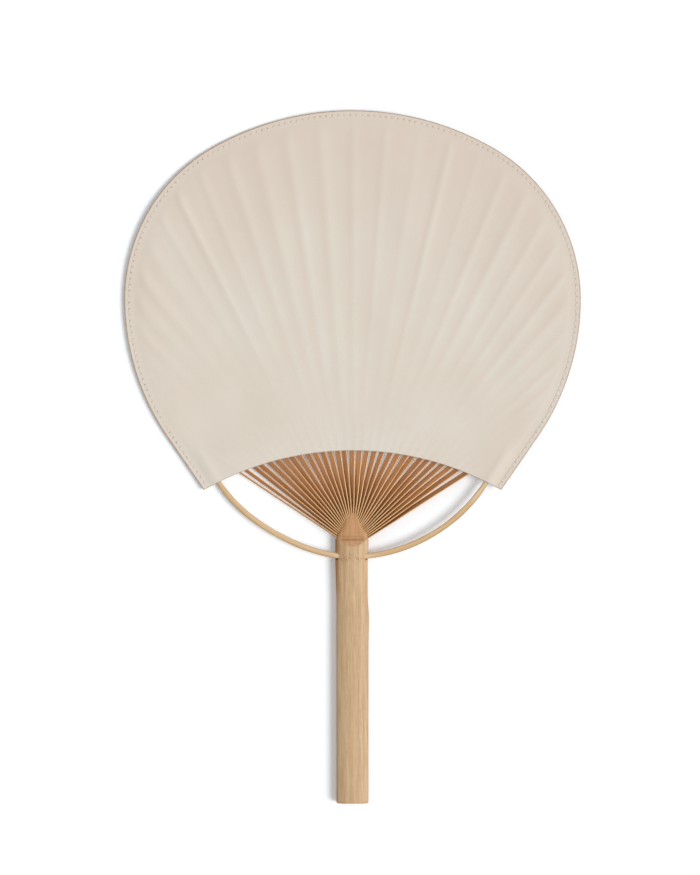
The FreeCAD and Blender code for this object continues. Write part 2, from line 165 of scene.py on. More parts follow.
bow_low = np.array([0, fan_y - bow_drop])
bow_entry = mouth_point(bow_mouth_x)
bow_climb = bow_entry[1] - bow_low[1]
bow_radius = (bow_mouth_x**2 + bow_climb**2) / (2 * bow_climb)
bow_centre = bow_low + np.array([0, bow_radius])
bow_turn = 2 * math.atan2(bow_climb, bow_mouth_x)
tuck_way = np.array([math.cos(bow_turn), math.sin(bow_turn)])
tuck_across = np.array([tuck_way[1], -tuck_way[0]])
lacing_on_tuck = run_to_circle(bow_entry, tuck_way, lacing_circle)
tuck_length = lacing_on_tuck + tuck_past_lacing
print("bow radius", round(bow_radius, 4), "m, ribs", rib_count, "of", round(rib_thickness, 5), "m")

# %% [markdown]
# ## The camera
#
# The picture is taken from straight above with a long lens, so the fan keeps its true outline. The frame
# is 700 by 875 pixels, each a little over half a millimetre of the fan. The height of the camera follows
# from the lens, the long side of the sensor and the length of fan that has to fit in the picture.

# %% Camera straight above
picture_height_pixels = 875
pixel_size = 0.55 * mm
camera_centre = (-1.375 * mm, 10.625 * mm)
lens_length = 100
sensor_size = 36
camera_data = bpy.data.cameras.new("camera")
camera_data.lens = lens_length
camera_data.sensor_width = sensor_size
camera_distance = picture_height_pixels * pixel_size * lens_length / sensor_size
camera = bpy.data.objects.new("camera", camera_data)
camera.location = (*camera_centre, blade_plane_height + camera_distance)
scene = bpy.context.scene
scene.collection.objects.link(camera)
scene.camera = camera
print("camera", round(camera_distance, 3), "m above the blade")

# %% [markdown]
# ## Helpers for materials
#
# A material here is a small tree of nodes. Adding a node and setting its sockets takes several lines each
# time, so one helper does both, and short ones on top of it stand for the few kinds of node that the fan
# needs. A finish that several pieces share, such as the fibres of bamboo, becomes a node group: it is built
# once, and each material gives it its own colours and sizes.


# %% Nodes
def set_sockets(tree, node, sockets):
    """Gives each named socket a value, or a link from another socket."""
    for socket, value in sockets.items():
        if isinstance(value, bpy.types.NodeSocket):
            tree.links.new(value, node.inputs[socket])
        else:
            node.inputs[socket].default_value = value


def add_node(tree, kind, sockets=None, **settings):
    """Node with its settings and sockets."""
    made = tree.nodes.new(kind)
    for setting, value in settings.items():
        setattr(made, setting, value)
    set_sockets(tree, made, sockets or {})
    return made


def calculate(tree, operation, *values):
    """Number worked out from other numbers."""
    return add_node(tree, "ShaderNodeMath", dict(enumerate(values)), operation=operation).outputs[0]


def scale_place(tree, operation, place, size):
    """Place multiplied or divided by a size."""
    return add_node(tree, "ShaderNodeVectorMath", {0: place, 1: size}, operation=operation).outputs[0]


def add_noise(tree, place, scale, detail, roughness=0.5):
    """Soft random value over the surface."""
    sockets = {"Vector": place, "Scale": scale, "Detail": detail, "Roughness": roughness}
    return add_node(tree, "ShaderNodeTexNoise", sockets).outputs[0]


def remap(tree, value, from_span=(0, 1), to_span=(0, 1)):
    """Value carried from one span to another, and held at its ends."""
    sockets = {"Value": value, "From Min": from_span[0], "From Max": from_span[1],
               "To Min": to_span[0], "To Max": to_span[1]}
    return add_node(tree, "ShaderNodeMapRange", sockets).outputs[0]


def mix_values(tree, share, first, second):
    """Value between two others."""
    return add_node(tree, "ShaderNodeMix", {0: share, 2: first, 3: second}).outputs[0]


def mix_colours(tree, share, first, second, blend="MIX"):
    """Colour between two others, or one tinted by the other."""
    sockets = {0: share, 6: first, 7: second}
    return add_node(tree, "ShaderNodeMix", sockets, data_type="RGBA", blend_type=blend).outputs[2]


def read_mark(tree, name, output="Fac"):
    """Number or place that is stored at the points of a piece."""
    return add_node(tree, "ShaderNodeAttribute", attribute_name=name).outputs[output]


print("node helpers ready")

# %% Groups, materials and colours
VALUE = "NodeSocketFloat"
COLOUR = "NodeSocketColor"
VECTOR = "NodeSocketVector"


def start_group(name, inputs, outputs):
    """Empty node group with named sockets, the sockets that it takes in, and its end."""
    group = bpy.data.node_groups.new(name, "ShaderNodeTree")
    for in_out, sockets in (("INPUT", inputs), ("OUTPUT", outputs)):
        for socket, kind in sockets.items():
            group.interface.new_socket(name=socket, in_out=in_out, socket_type=kind)
    return group, add_node(group, "NodeGroupInput").outputs, add_node(group, "NodeGroupOutput")


def start_material(name):
    """Material with nodes, its tree and its one shader."""
    material = bpy.data.materials.new(name)
    material.use_nodes = True
    return material, material.node_tree, material.node_tree.nodes["Principled BSDF"]


def dress_shader(tree, shader, colour, roughness, gloss, height, bump_share, bump_depth):
    """Colour, roughness, plain gloss and bumps of a finish."""
    bumps = add_node(
        tree, "ShaderNodeBump", {"Strength": bump_share, "Distance": bump_depth, "Height": height})
    set_sockets(tree, shader, {
        "Base Color": colour, "Roughness": roughness, "Specular IOR Level": gloss,
        "Normal": bumps.outputs[0]})


def paint(red, green, blue):
    """Colour as seen on a screen, 0 to 255, as the light that a node works with."""
    seen = np.array([red, green, blue]) / 255
    light = np.where(seen <= 0.04045, seen / 12.92, ((seen + 0.055) / 1.055) ** 2.4)
    return (*(float(v) for v in light), 1)


print("material helpers ready")

# %% [markdown]
# ## Floor, light and backdrop
#
# The fan lies on white paper under a broad lamp on the right, which throws soft shadows to the left. A lamp
# with a size could be an area light, but a sun with a wide angle lights the whole fan evenly and has the
# same soft edge everywhere. The world fills in the shadows, and what the camera sees of it is plain white.
# A fan is not quite flat: it rests on the left side of the handle, and its blade hangs down towards the left
# and the top. The pieces keep their frame, and the paper is tilted and bent up to them instead.

# %% White floor that keeps the shadow
white = (1, 1, 1, 1)
paper_colour = (0.935, 0.965, 0.99, 1)
floor_lift = 0.1
floor_tilt = math.radians(1.3)
floor_contact_x = -8 * mm
floor_reach = 6.0
floor_bend_places = (-95 * mm, -60 * mm, 0, 60 * mm, 140 * mm, 185 * mm)
floor_bend_heights = (-0.35 * mm, 0, 1.2 * mm, 0.5 * mm, 0.2 * mm, 3.2 * mm)

scene.view_settings.view_transform = "Standard"

floor_rows = [
    (-floor_reach, floor_bend_heights[0]), *zip(floor_bend_places, floor_bend_heights),
    (floor_reach, floor_bend_heights[-1])]
floor_points = [(side * floor_reach, *row) for row in floor_rows for side in (-1, 1)]
floor_faces = [(2 * row, 2 * row + 1, 2 * row + 3, 2 * row + 2) for row in range(len(floor_rows) - 1)]
floor_mesh = bpy.data.meshes.new("floor")
floor_mesh.from_pydata(floor_points, [], floor_faces)
floor = bpy.data.objects.new("floor", floor_mesh)
floor.location.x = floor_contact_x
floor.rotation_euler.y = floor_tilt
scene.collection.objects.link(floor)

paper, paper_tree, paper_face = start_material("white paper")
paper_rays = add_node(paper_tree, "ShaderNodeLightPath").outputs
paper_lift = calculate(paper_tree, "MULTIPLY", paper_rays["Is Camera Ray"], floor_lift)
set_sockets(paper_tree, paper_face, {
    "Base Color": paper_colour, "Roughness": 1, "Specular IOR Level": 0, "Emission Color": white,
    "Emission Strength": paper_lift})
floor_mesh.materials.append(paper)
print("floor of", 2 * floor_reach, "m each way")

# %% Lamp and world
lamp_elevation = math.radians(50)
lamp_azimuth = math.radians(-15)
lamp_width = math.radians(30)
lamp_strength = 1.97
lamp_colour = (1.0, 0.998, 0.992)
fill_strength = 0.52
fill_colour = (0.98, 0.99, 1.0, 1)

lamp_data = bpy.data.lights.new("window light", "SUN")
lamp_data.energy = lamp_strength
lamp_data.angle = lamp_width
lamp_data.color = lamp_colour
lamp = bpy.data.objects.new("window light", lamp_data)
lamp.rotation_euler = (0, quarter_turn - lamp_elevation, lamp_azimuth)
scene.collection.objects.link(lamp)

world = bpy.data.worlds.new("room")
scene.world = world
world.use_nodes = True
room_tree = world.node_tree
room_tree.nodes.clear()
rays = add_node(room_tree, "ShaderNodeLightPath").outputs
seen_rays = calculate(room_tree, "MAXIMUM", rays["Is Camera Ray"], rays["Is Glossy Ray"])
clear_rays = calculate(room_tree, "MAXIMUM", seen_rays, rays["Is Transmission Ray"])
fill_light = add_node(room_tree, "ShaderNodeBackground", {"Color": fill_colour, "Strength": fill_strength})
white_wall = add_node(room_tree, "ShaderNodeBackground", {"Color": white, "Strength": 1})
room_mix = add_node(
    room_tree, "ShaderNodeMixShader", {0: clear_rays, 1: fill_light.outputs[0], 2: white_wall.outputs[0]})
add_node(room_tree, "ShaderNodeOutputWorld", {"Surface": room_mix.outputs[0]})
print("lamp", lamp_strength, "and fill", fill_strength)

# %% [markdown]
# ## Helpers for meshes
#
# Every piece of the fan is a mesh that stands for one piece of the solid model. The first helper turns
# points and faces into such a piece, rides it on the fan's one body and names its finish. Another sweeps a
# small section along a path, which is how a rib, a rod or a thread is thought of by its maker. The last two
# are soft curves: a step from one level to another, and a bell round a place.


# %% Keep a piece
def keep_piece(name, points, faces, materials, stands_for, face_kinds=None, sharp_degrees=40):
    """Mesh piece with smooth faces, in the place of solid nodes."""
    mesh = bpy.data.meshes.new(name)
    mesh.from_pydata([tuple(p) for p in points], [], [tuple(int(i) for i in f) for f in faces])
    mesh.update()
    for material in materials:
        mesh.materials.append(material)
    if face_kinds is not None:
        mesh.polygons.foreach_set("material_index", np.asarray(face_kinds, np.int32))
    mesh.polygons.foreach_set("use_smooth", np.ones(len(mesh.polygons), bool))
    mesh.set_sharp_from_angle(angle=math.radians(sharp_degrees))
    piece = bpy.data.objects.new(name, mesh)
    scene.collection.objects.link(piece)
    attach(piece, "root")
    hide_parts(*stands_for)
    return piece


def mark_points(piece, name, values):
    """Stores a number or a vector at every point of a piece, for its material to read."""
    values = np.asarray(values, np.float32)
    kind, field = ("FLOAT_VECTOR", "vector") if values.ndim == 2 else ("FLOAT", "value")
    layer = piece.data.attributes.new(name, kind, "POINT")
    layer.data.foreach_set(field, values.ravel())


print("piece helpers ready")


# %% Sweep a section along a path
def unit(vectors):
    """Vectors of length 1."""
    return vectors / np.linalg.norm(vectors, axis=-1, keepdims=True)


def tube_faces(stations, sides):
    """Faces of a closed tube of rings, ends included."""
    faces = []
    for station in range(stations - 1):
        for side in range(sides):
            here = station * sides + side
            beside = station * sides + (side + 1) % sides
            faces.append((here, beside, beside + sides, here + sides))
    last = (stations - 1) * sides
    faces.append(tuple(range(sides))[::-1])
    faces.append(tuple(range(last, last + sides)))
    return faces


def sweep(path, wide, thin, section):
    """Points and faces of a closed tube. A section has its own (across, up) points at each station."""
    points = path[:, None] + wide[:, None] * section[..., :1] + thin[:, None] * section[..., 1:]
    return points.reshape(-1, 3), tube_faces(*section.shape[:2])


def round_section(angles):
    """Points of a circle of radius 1."""
    return np.column_stack([np.cos(angles), np.sin(angles)])


def run_along(path):
    """Length walked at each point of a path."""
    steps = np.linalg.norm(np.diff(path, axis=0), axis=1)
    return np.concatenate([[0], np.cumsum(steps)])


def lifted(flat, z):
    """Level points with a height."""
    return np.column_stack([flat, np.broadcast_to(z, len(flat))])


def smooth_step(low, high, values):
    """0 below a value, 1 above another, with a soft turn between."""
    share = np.clip((values - low) / (high - low), 0, 1)
    return share * share * (3 - 2 * share)


def bell(values, spread):
    """1 at zero, falling softly away to both sides."""
    return np.exp(-((values / spread) ** 2))


print("mesh helpers ready")

# %% [markdown]
# ## Bamboo
#
# Split bamboo shows fine fibres along its length, broader pale and dark streaks, and short brown flecks where
# the bundles of vessels come to the surface. A photograph could be wrapped round each piece, but noise that
# is stretched along the piece gives the same fibres at any size. Handle, ribs and bow share this group.

# %% Node group: bamboo fibres
broad_streak_scale = 0.22
broad_streak_share = 0.4
mottle_scale = 420.0
mottle_share = 0.1
streak_span = (0.37, 0.63)
fleck_shape = (0.8, 5.5, 0.8)
fleck_floor_span = (0.80, 0.50)
fleck_edge = 0.08
fleck_pit_share = 0.5
bamboo_roughness_span = (0.62, 0.46)

bamboo_group, fibre_in, fibre_out = start_group(
    "bamboo fibres",
    {"Place": VECTOR, "Fibre Width": VALUE, "Fibre Run": VALUE, "Pale": COLOUR, "Dark": COLOUR,
     "Fleck": COLOUR, "Fleck Share": VALUE},
    {"Colour": COLOUR, "Height": VALUE, "Roughness": VALUE},
)
fibre_length = calculate(bamboo_group, "MULTIPLY", fibre_in["Fibre Width"], fibre_in["Fibre Run"])
fibre_cell = add_node(
    bamboo_group, "ShaderNodeCombineXYZ",
    {0: fibre_in["Fibre Width"], 1: fibre_length, 2: fibre_in["Fibre Width"]})
fibre_place = scale_place(bamboo_group, "DIVIDE", fibre_in["Place"], fibre_cell.outputs[0])
fine_fibres = add_noise(bamboo_group, fibre_place, scale=1, detail=3, roughness=0.6)
broad_streaks = add_noise(bamboo_group, fibre_place, scale=broad_streak_scale, detail=2)
mottle = add_noise(bamboo_group, fibre_in["Place"], scale=mottle_scale, detail=3, roughness=0.55)
both_streaks = mix_values(bamboo_group, broad_streak_share, fine_fibres, broad_streaks)
all_streaks = mix_values(bamboo_group, mottle_share, both_streaks, mottle)
streak = remap(bamboo_group, all_streaks, from_span=streak_span)
fibre_tone = mix_colours(bamboo_group, streak, fibre_in["Dark"], fibre_in["Pale"])
fleck_place = scale_place(bamboo_group, "MULTIPLY", fibre_place, fleck_shape)
fleck_noise = add_noise(bamboo_group, fleck_place, scale=1, detail=1, roughness=0.4)
fleck_floor = remap(bamboo_group, fibre_in["Fleck Share"], to_span=fleck_floor_span)
fleck_full = calculate(bamboo_group, "ADD", fleck_floor, fleck_edge)
fleck_mask = remap(bamboo_group, fleck_noise, from_span=(fleck_floor, fleck_full))
set_sockets(bamboo_group, fibre_out, {
    "Colour": mix_colours(bamboo_group, fleck_mask, fibre_tone, fibre_in["Fleck"]),
    "Height": calculate(bamboo_group, "MULTIPLY_ADD", fleck_mask, -fleck_pit_share, streak),
    "Roughness": remap(bamboo_group, streak, to_span=bamboo_roughness_span)})
print("bamboo group:", len(bamboo_group.nodes), "nodes")

# %% A bamboo material from the group
dark_tone_span = (0.6, 1.0)
dark_warmth_span = (1.13, 1.0)
bamboo_gloss = 0.35
bamboo_bump_share = 0.35


def bamboo(name, pale, dark, fleck, fibre_width, fibre_run, bump, fleck_share=None, pared=None,
           tone_name="slice_tone"):
    """Bamboo finish that reads the grain's place and its tone from the points of the piece."""
    material, tree, shader = start_material(name)
    if fleck_share is None:
        fleck_share = read_mark(tree, "fleck_share")
    fibres = add_node(tree, "ShaderNodeGroup", {
        "Place": read_mark(tree, "grain_place", "Vector"), "Fibre Width": fibre_width,
        "Fibre Run": fibre_run, "Pale": pale, "Dark": dark, "Fleck": fleck, "Fleck Share": fleck_share,
    }, node_tree=bamboo_group).outputs
    colour = fibres["Colour"]
    if pared:
        colour = mix_colours(tree, read_mark(tree, "brown_tint_share"), colour, pared, blend="MULTIPLY")
    tone = read_mark(tree, tone_name)
    warmth = remap(tree, tone, dark_tone_span, dark_warmth_span)
    shade = add_node(tree, "ShaderNodeHueSaturation", {"Saturation": warmth, "Value": tone, "Color": colour})
    dress_shader(tree, shader, shade.outputs[0], fibres["Roughness"], bamboo_gloss, fibres["Height"],
                 bamboo_bump_share, bump)
    return material


print("bamboo finish ready")

# %% [markdown]
# ## The handle
#
# The handle is a flat-backed length of culm with a gently curved front. Near its head a slope is pared down
# to the thin part that the ribs grow from, and a blunt tongue stays between the two rows of rib roots. Knife
# cuts mark the foot of the slope. It could be cut from a block with booleans, but stations along a length of
# section keep the faces long and even, as the fibres are. Only the cross hole for the bow is a boolean.

# %% Sizes and section of the handle
handle_thickness = 7.8 * mm
handle_side_height = 5 * mm
handle_crown_turn = math.radians(27)
handle_back_round = 0.8 * mm
head_back = blade_plane_height - rib_depth / 2
head_front = blade_plane_height + rib_depth / 2
head_edge_round = 0.35 * mm
head_edge_share = 0.8
tongue_crown = 0.1 * mm
tongue_edge_fall = 0.25 * mm
tongue_edge_width = 2.2 * mm
section_parts = {"back": 6, "corner": 5, "side": 4, "shoulder": 6, "crown": 14}
handle_crown, handle_shoulder = arch_radii(
    half_handle, handle_thickness - handle_side_height, handle_crown_turn)


def arc_points(centre, radius, start, end, count, closed=False):
    """Points on an arc, with its last one if closed."""
    return np.array(centre) + radius * round_section(np.linspace(start, end, count, endpoint=closed))


def line_points(start, end, count, closed=False):
    """Points on a line, with its last one if closed."""
    share = np.linspace(0, 1, count, endpoint=closed)[:, None]
    return np.array(start) * (1 - share) + np.array(end) * share


def whole_section(right_half):
    """Closed section from its right half, which runs from the middle of the back to that of the front."""
    left_half = right_half[-2:0:-1] * (-1, 1)
    return np.concatenate([right_half, left_half])


def dome_section():
    """Section of the grip: flat back, upright sides, domed front."""
    flat_end = half_handle - handle_back_round
    turn = quarter_turn - handle_crown_turn
    return whole_section(np.concatenate([
        line_points((0, 0), (flat_end, 0), section_parts["back"]),
        arc_points((flat_end, handle_back_round), handle_back_round, -quarter_turn, 0,
                   section_parts["corner"]),
        line_points((half_handle, handle_back_round), (half_handle, handle_side_height),
                    section_parts["side"]),
        arc_points((half_handle - handle_shoulder, handle_side_height), handle_shoulder, 0, turn,
                   section_parts["shoulder"]),
        arc_points((0, handle_thickness - handle_crown), handle_crown, turn, quarter_turn,
                   section_parts["crown"], True),
    ]))


def head_section(half):
    """Flat section of the tongue with rounded edges and a slight crown."""
    edge = min(head_edge_round, half * head_edge_share)
    flat = whole_section(np.concatenate([
        line_points((0, head_back), (half - edge, head_back), section_parts["back"]),
        arc_points((half - edge, head_back + edge), edge, -quarter_turn, 0, section_parts["corner"]),
        line_points((half, head_back + edge), (half, head_front - edge), section_parts["side"]),
        arc_points((half - edge, head_front - edge), edge, 0, quarter_turn, section_parts["shoulder"]),
        line_points((half - edge, head_front), (0, head_front), section_parts["crown"], True),
    ]))
    from_edge = half - np.abs(flat[:, 0])
    edge_fall = tongue_edge_fall * (1 - smooth_step(0, min(tongue_edge_width, half), from_edge))
    flat[:, 1] += np.where(flat[:, 1] > blade_plane_height, tongue_crown - edge_fall, 0)
    return flat


dome = dome_section()
print("handle section:", len(dome), "points")

# %% Natural sides, knife creases and the bell of the tongue
neck_span = (fan_y - 36 * mm, fan_y - 6 * mm)
dip_span = (fan_y - 38 * mm, fan_y - 27 * mm)
head_span = (fan_y - 8 * mm, fan_y)
knot_y = fan_y - 42.5 * mm
knot_spread = 6.5 * mm
left_neck_swell = 0.6 * mm
right_knot_swell = 0.25 * mm
right_dip = 0.45 * mm
crease_y = shoulder_y - 0.2 * mm
crease_spread = 0.45 * mm
crease_gap = 1.5 * mm
crease_second_share = 0.45
crease_reach = 5.4 * mm
crease_fade = 0.9 * mm
tongue_rise_shares = (0, 0.1, 0.22, 0.36, 0.5, 0.64, 0.78, 0.92, 1)
tongue_half_shares = (1, 0.96, 0.87, 0.71, 0.55, 0.44, 0.38, 0.32, 0.22)
tongue_tip_round = 1.6 * mm


def natural_side(y):
    """How far the left and the right side of the culm stand out from the straight, along the length."""
    neck = smooth_step(*neck_span, y)
    dip = smooth_step(*dip_span, y) - smooth_step(*head_span, y)
    return left_neck_swell * neck, right_knot_swell * bell(y - knot_y, knot_spread) - right_dip * dip


def crease_mask(x, y):
    """1 in the knife cut across the foot of the slope, less in a second cut above it, 0 away from both."""
    across = 1 - smooth_step(crease_reach, crease_reach + crease_fade, np.abs(x))
    first = bell(y - crease_y, crease_spread)
    second = bell(y - crease_y - crease_gap, crease_spread)
    return across * (first + crease_second_share * second)


def head_half(y):
    """Half width of the tongue, which narrows like a bell from the full handle to a blunt tip."""
    rise = y - shoulder_y
    in_tip = max(rise - tongue_height + tongue_tip_round, 0)
    tip_share = math.sqrt(max(1 - (in_tip / tongue_tip_round) ** 2, 0))
    half_share = np.interp(rise / tongue_height, tongue_rise_shares, tongue_half_shares)
    return half_handle * half_share * tip_share


print("tongue half way up:", round(2 * head_half(shoulder_y + tongue_height / 2) / mm, 2), "mm wide")

# %% Stations of the grip and the slope
handle_end_round = 0.7 * mm
handle_corner_round = 0.8 * mm
scoop_length = 4.1 * mm
scoop_land = 0.3 * mm
scoop_blend = 0.06 * mm
scoop_lead = 0.5 * mm
crease_depth = 0.22 * mm
tongue_foot_fall = 0.8 * mm
grip_first_step = 1.4 * mm
grip_step = 2.1 * mm
grip_last_gap = 0.6 * mm
end_stations = 7
scoop_stations = 30
scoop_top = shoulder_y - scoop_land - scoop_length


def soft_min(a, b, blend):
    """Smaller of two values, with a soft turn where they cross."""
    return (a + b - np.sqrt((a - b) ** 2 + blend**2)) / 2


def soft_max(a, b, blend):
    """Larger of two values, with a soft turn where they cross."""
    return (a + b + np.sqrt((a - b) ** 2 + blend**2)) / 2


def round_cut(from_end, radius):
    """How much a rounded end takes off, at a distance from the end."""
    inside = max(radius - from_end, 0)
    return radius - math.sqrt(radius**2 - inside**2)


handle_rings = []
handle_places = []
for turn in np.linspace(0, quarter_turn, end_stations):
    handle_places.append(handle_end_y + handle_corner_round * (1 - math.cos(turn)))
handle_places += list(np.arange(handle_places[-1] + grip_first_step, scoop_top - grip_last_gap, grip_step))
handle_places += list(np.linspace(scoop_top - scoop_lead, shoulder_y, scoop_stations))
for y in handle_places:
    ring = dome.copy()
    ring[:, 0] *= (half_handle - round_cut(y - handle_end_y, handle_corner_round)) / half_handle
    left, right = natural_side(y)
    ring[:, 0] *= 1 + np.where(ring[:, 0] > 0, right, left) / half_handle
    end_cut = round_cut(y - handle_end_y, handle_end_round)
    slope = np.clip((y - scoop_top) / scoop_length, 0, 1)
    front = handle_thickness - slope * (handle_thickness - head_front + tongue_foot_fall) - end_cut
    back = slope * head_back + end_cut
    ring[:, 1] = np.minimum(ring[:, 1], front) if slope == 0 else soft_min(ring[:, 1], front, scoop_blend)
    ring[:, 1] = np.maximum(ring[:, 1], back)
    ring[:, 1] -= crease_depth * crease_mask(ring[:, 0], y) * (ring[:, 1] > blade_plane_height)
    handle_rings.append(np.column_stack([ring[:, 0], np.full(len(ring), y), ring[:, 1]]))
print("grip and slope:", len(handle_rings), "stations")

# %% Stations of the tongue
tongue_start = 0.02 * mm
tongue_foot = 2.4 * mm
tongue_foot_stations = 14
tongue_tip_stations = 24
tongue_foot_rise = 2.6 * mm
tongue_tip_fall = 0.9 * mm
tongue_tip_run = 5.0 * mm

tongue_rises = list(np.linspace(tongue_start, tongue_foot, tongue_foot_stations, endpoint=False))
for turn in np.linspace(0, quarter_turn, tongue_tip_stations):
    tongue_rises.append(tongue_foot + (tongue_height - 2 * tongue_start - tongue_foot) * math.sin(turn))
for rise in tongue_rises:
    y = shoulder_y + rise
    flat = head_section(head_half(y))
    fall = tongue_foot_fall * (1 - smooth_step(0, tongue_foot_rise, y - shoulder_y))
    fall += tongue_tip_fall * smooth_step(tongue_tip_y - tongue_tip_run, tongue_tip_y, y)
    in_front = flat[:, 1] > blade_plane_height
    flat[:, 1] -= in_front * (fall + crease_depth * crease_mask(flat[:, 0], y))
    handle_rings.append(np.column_stack([flat[:, 0], np.full(len(flat), y), flat[:, 1]]))
print("handle:", len(handle_rings), "stations")


# %% Handle mesh with its cross hole
def stacked(rings):
    """Points and faces of a closed body from its rings."""
    return np.concatenate(rings), tube_faces(len(rings), len(rings[0]))


def cut_hole(body, drill):
    """Points and faces of a body with a hole cut through it."""
    parts = []
    for name, (points, faces) in (("body", body), ("drill", drill)):
        mesh = bpy.data.meshes.new(name)
        mesh.from_pydata([tuple(p) for p in points], [], faces)
        form = bmesh.new()
        form.from_mesh(mesh)
        bmesh.ops.recalc_face_normals(form, faces=form.faces)
        form.to_mesh(mesh)
        form.free()
        parts.append(bpy.data.objects.new(name, mesh))
        scene.collection.objects.link(parts[-1])
    cut = parts[0].modifiers.new("hole", "BOOLEAN")
    cut.operation = "DIFFERENCE"
    cut.solver = "EXACT"
    cut.object = parts[1]
    bpy.context.view_layer.update()
    result = bpy.data.meshes.new_from_object(parts[0].evaluated_get(bpy.context.evaluated_depsgraph_get()))
    for part in parts:
        bpy.data.objects.remove(part)
    return np.array([v.co for v in result.vertices]), [tuple(p.vertices) for p in result.polygons]


hole_half_wide = 2.1 * mm
hole_half_tall = 1.36 * mm
hole_slack = 0.25 * mm
hole_sides = 32
hole_sag = bow_radius - math.sqrt(bow_radius**2 - half_handle**2)
hole_round = round_section(np.linspace(0, full_turn, hole_sides, endpoint=False))
hole_ring = np.column_stack([
    np.zeros(hole_sides),
    bow_low[1] + hole_sag / 2 - hole_slack + hole_half_wide * hole_round[:, 0],
    blade_plane_height + hole_half_tall * hole_round[:, 1],
])
hole_ends = [hole_ring + (side * handle_width, 0, 0) for side in (-1, 1)]
handle_points, handle_faces = cut_hole(stacked(handle_rings), stacked(hole_ends))
handle_bamboo = bamboo(
    "handle bamboo", pale=paint(211, 180, 143), dark=paint(184, 148, 109), fleck=paint(150, 108, 72),
    fibre_width=0.3 * mm, fibre_run=44, bump=0.06 * mm, pared=(0.925, 0.74, 0.61, 1))
handle = keep_piece(
    "handle", handle_points, handle_faces, [handle_bamboo], ["handle"], sharp_degrees=34)
print("handle:", len(handle_faces), "faces")

# %% Where the handle is pared, browned or worn, and painted shade along its left side
tongue_tint_span = (shoulder_y - 1.5 * mm, shoulder_y + 1 * mm)
pared_depth_span = (0.03 * mm, 0.25 * mm)
pared_slope_share = 0.7
rind_span = (-0.7 * mm, -0.1 * mm)
rind_brown_share = 0.6
end_grain_span = (0.15 * mm, 0.9 * mm)
end_brown_share = 0.8
near_head_span = (fan_y - 40 * mm, fan_y - 10 * mm)
left_shade_strip_width = 2.6 * mm
left_strip_brown_shade_share = 0.75
vessel_y = fan_y - 7.2 * mm
vessel_spread = 3.2 * mm
vessel_fleck_share = 0.8
least_fleck_share = 0.06

hx, hy, hz = handle_points.T
left_stand, right_stand = natural_side(hy)
past_side = np.abs(hx) - half_handle - np.where(hx > 0, right_stand, left_stand)
dome_front = handle_thickness - handle_crown + np.sqrt(handle_crown**2 - hx**2)
cut_depth = (dome_front - hz) * (hz > blade_plane_height) * (hy > scoop_top - scoop_lead)
pared = np.maximum(
    pared_slope_share * smooth_step(*pared_depth_span, cut_depth), smooth_step(*tongue_tint_span, hy))
rind = smooth_step(*rind_span, past_side)
end_grain = 1 - smooth_step(*end_grain_span, hy - handle_end_y)
near_head = smooth_step(*near_head_span, hy)
# A strip along the left edge near the head is painted shade: browner and darker on the side away from the
# lamp.
left_shade_strip = 1 - smooth_step(-half_handle, left_shade_strip_width - half_handle, hx)
browned_and_left_shade = np.maximum.reduce([
    pared, rind_brown_share * rind, end_brown_share * end_grain, left_strip_brown_shade_share * near_head * left_shade_strip])
flecked = least_fleck_share + vessel_fleck_share * bell(hy - vessel_y, vessel_spread)
mark_points(handle, "grain_place", handle_points)
mark_points(handle, "brown_tint_share", browned_and_left_shade)
mark_points(handle, "fleck_share", flecked)
print("handle flecks from", round(flecked.min(), 2), "to", round(flecked.max(), 2))

# %% Streaks, painted shade and painted light along the handle
handle_seed = 5
long_streaks = {
    "count": 44, "rows": (handle_end_y, shoulder_y), "widths": (0.35 * mm, 0.8 * mm),
    "lengths": (12 * mm, 40 * mm), "tones": (-0.055, 0.065)}
head_streaks = {
    "count": 70, "rows": (fan_y - 34 * mm, fan_y - 7 * mm), "widths": (0.35 * mm, 0.7 * mm),
    "lengths": (2 * mm, 6 * mm), "tones": (-0.1, 0.13)}
shade_gap = 2 * mm
right_painted_light_span = (2 * mm, 7 * mm)
crease_shade_share = 0.32
rind_shade_share = 0.11
end_shade_share = 0.1
left_shade_share = 0.09
left_head_shade_share = 0.07
left_end_shade_share = 0.2
left_strip_shade_share = 0.07
left_strip_head_shade_share = 0.2
right_painted_light_share = 0.05


def streak_tone(count, rows, widths, lengths, tones):
    """Tone of soft streaks, each with its own place, size and strength."""
    total = np.zeros(len(hx))
    for _ in range(count):
        aside = hx - dice.uniform(-half_handle, half_handle)
        width = dice.uniform(*widths)
        along = hy - dice.uniform(*rows)
        length = dice.uniform(*lengths)
        total += dice.uniform(*tones) * bell(aside, width) * bell(along, length)
    return total


dice = np.random.default_rng(handle_seed)
handle_tone = 1 + streak_tone(**long_streaks) + streak_tone(**head_streaks)
crease = crease_mask(hx, hy) * (hz > blade_plane_height)
handle_tone -= crease_shade_share * crease + rind_shade_share * rind + end_shade_share * end_grain
# The left side is darkened as painted shade, since the lamp is on the right, more by the head and the end.
leftward = 1 - smooth_step(-half_handle, -shade_gap, hx)
by_head = smooth_step(*head_span, hy)
left_shade = left_shade_share + left_head_shade_share * by_head + left_end_shade_share * end_grain
handle_tone -= left_shade * leftward
handle_tone -= (left_strip_shade_share + left_strip_head_shade_share * near_head) * left_shade_strip
# Painted light: the right side by the head is made paler, as if the lamp lit it more.
handle_tone += right_painted_light_share * near_head * smooth_step(*right_painted_light_span, hx)
mark_points(handle, "slice_tone", handle_tone)
print("handle tone from", round(handle_tone.min(), 2), "to", round(handle_tone.max(), 2))

# %% [markdown]
# ## The bow
#
# The bow is a rod of split bamboo that passes through the handle and is bent up to both lower corners of the
# blade, where its tapered ends go under the leather. A curve with a bevel would do, but a swept section can
# be flatter than it is wide, taper at the ends and vary a little, as a whittled rod does.

# %% Path of the bow
bow_bend_steps = 64
bow_tuck_steps = 12
bow_left_flattening = 1.5 * mm
bow_right_flattening = 0.3 * mm


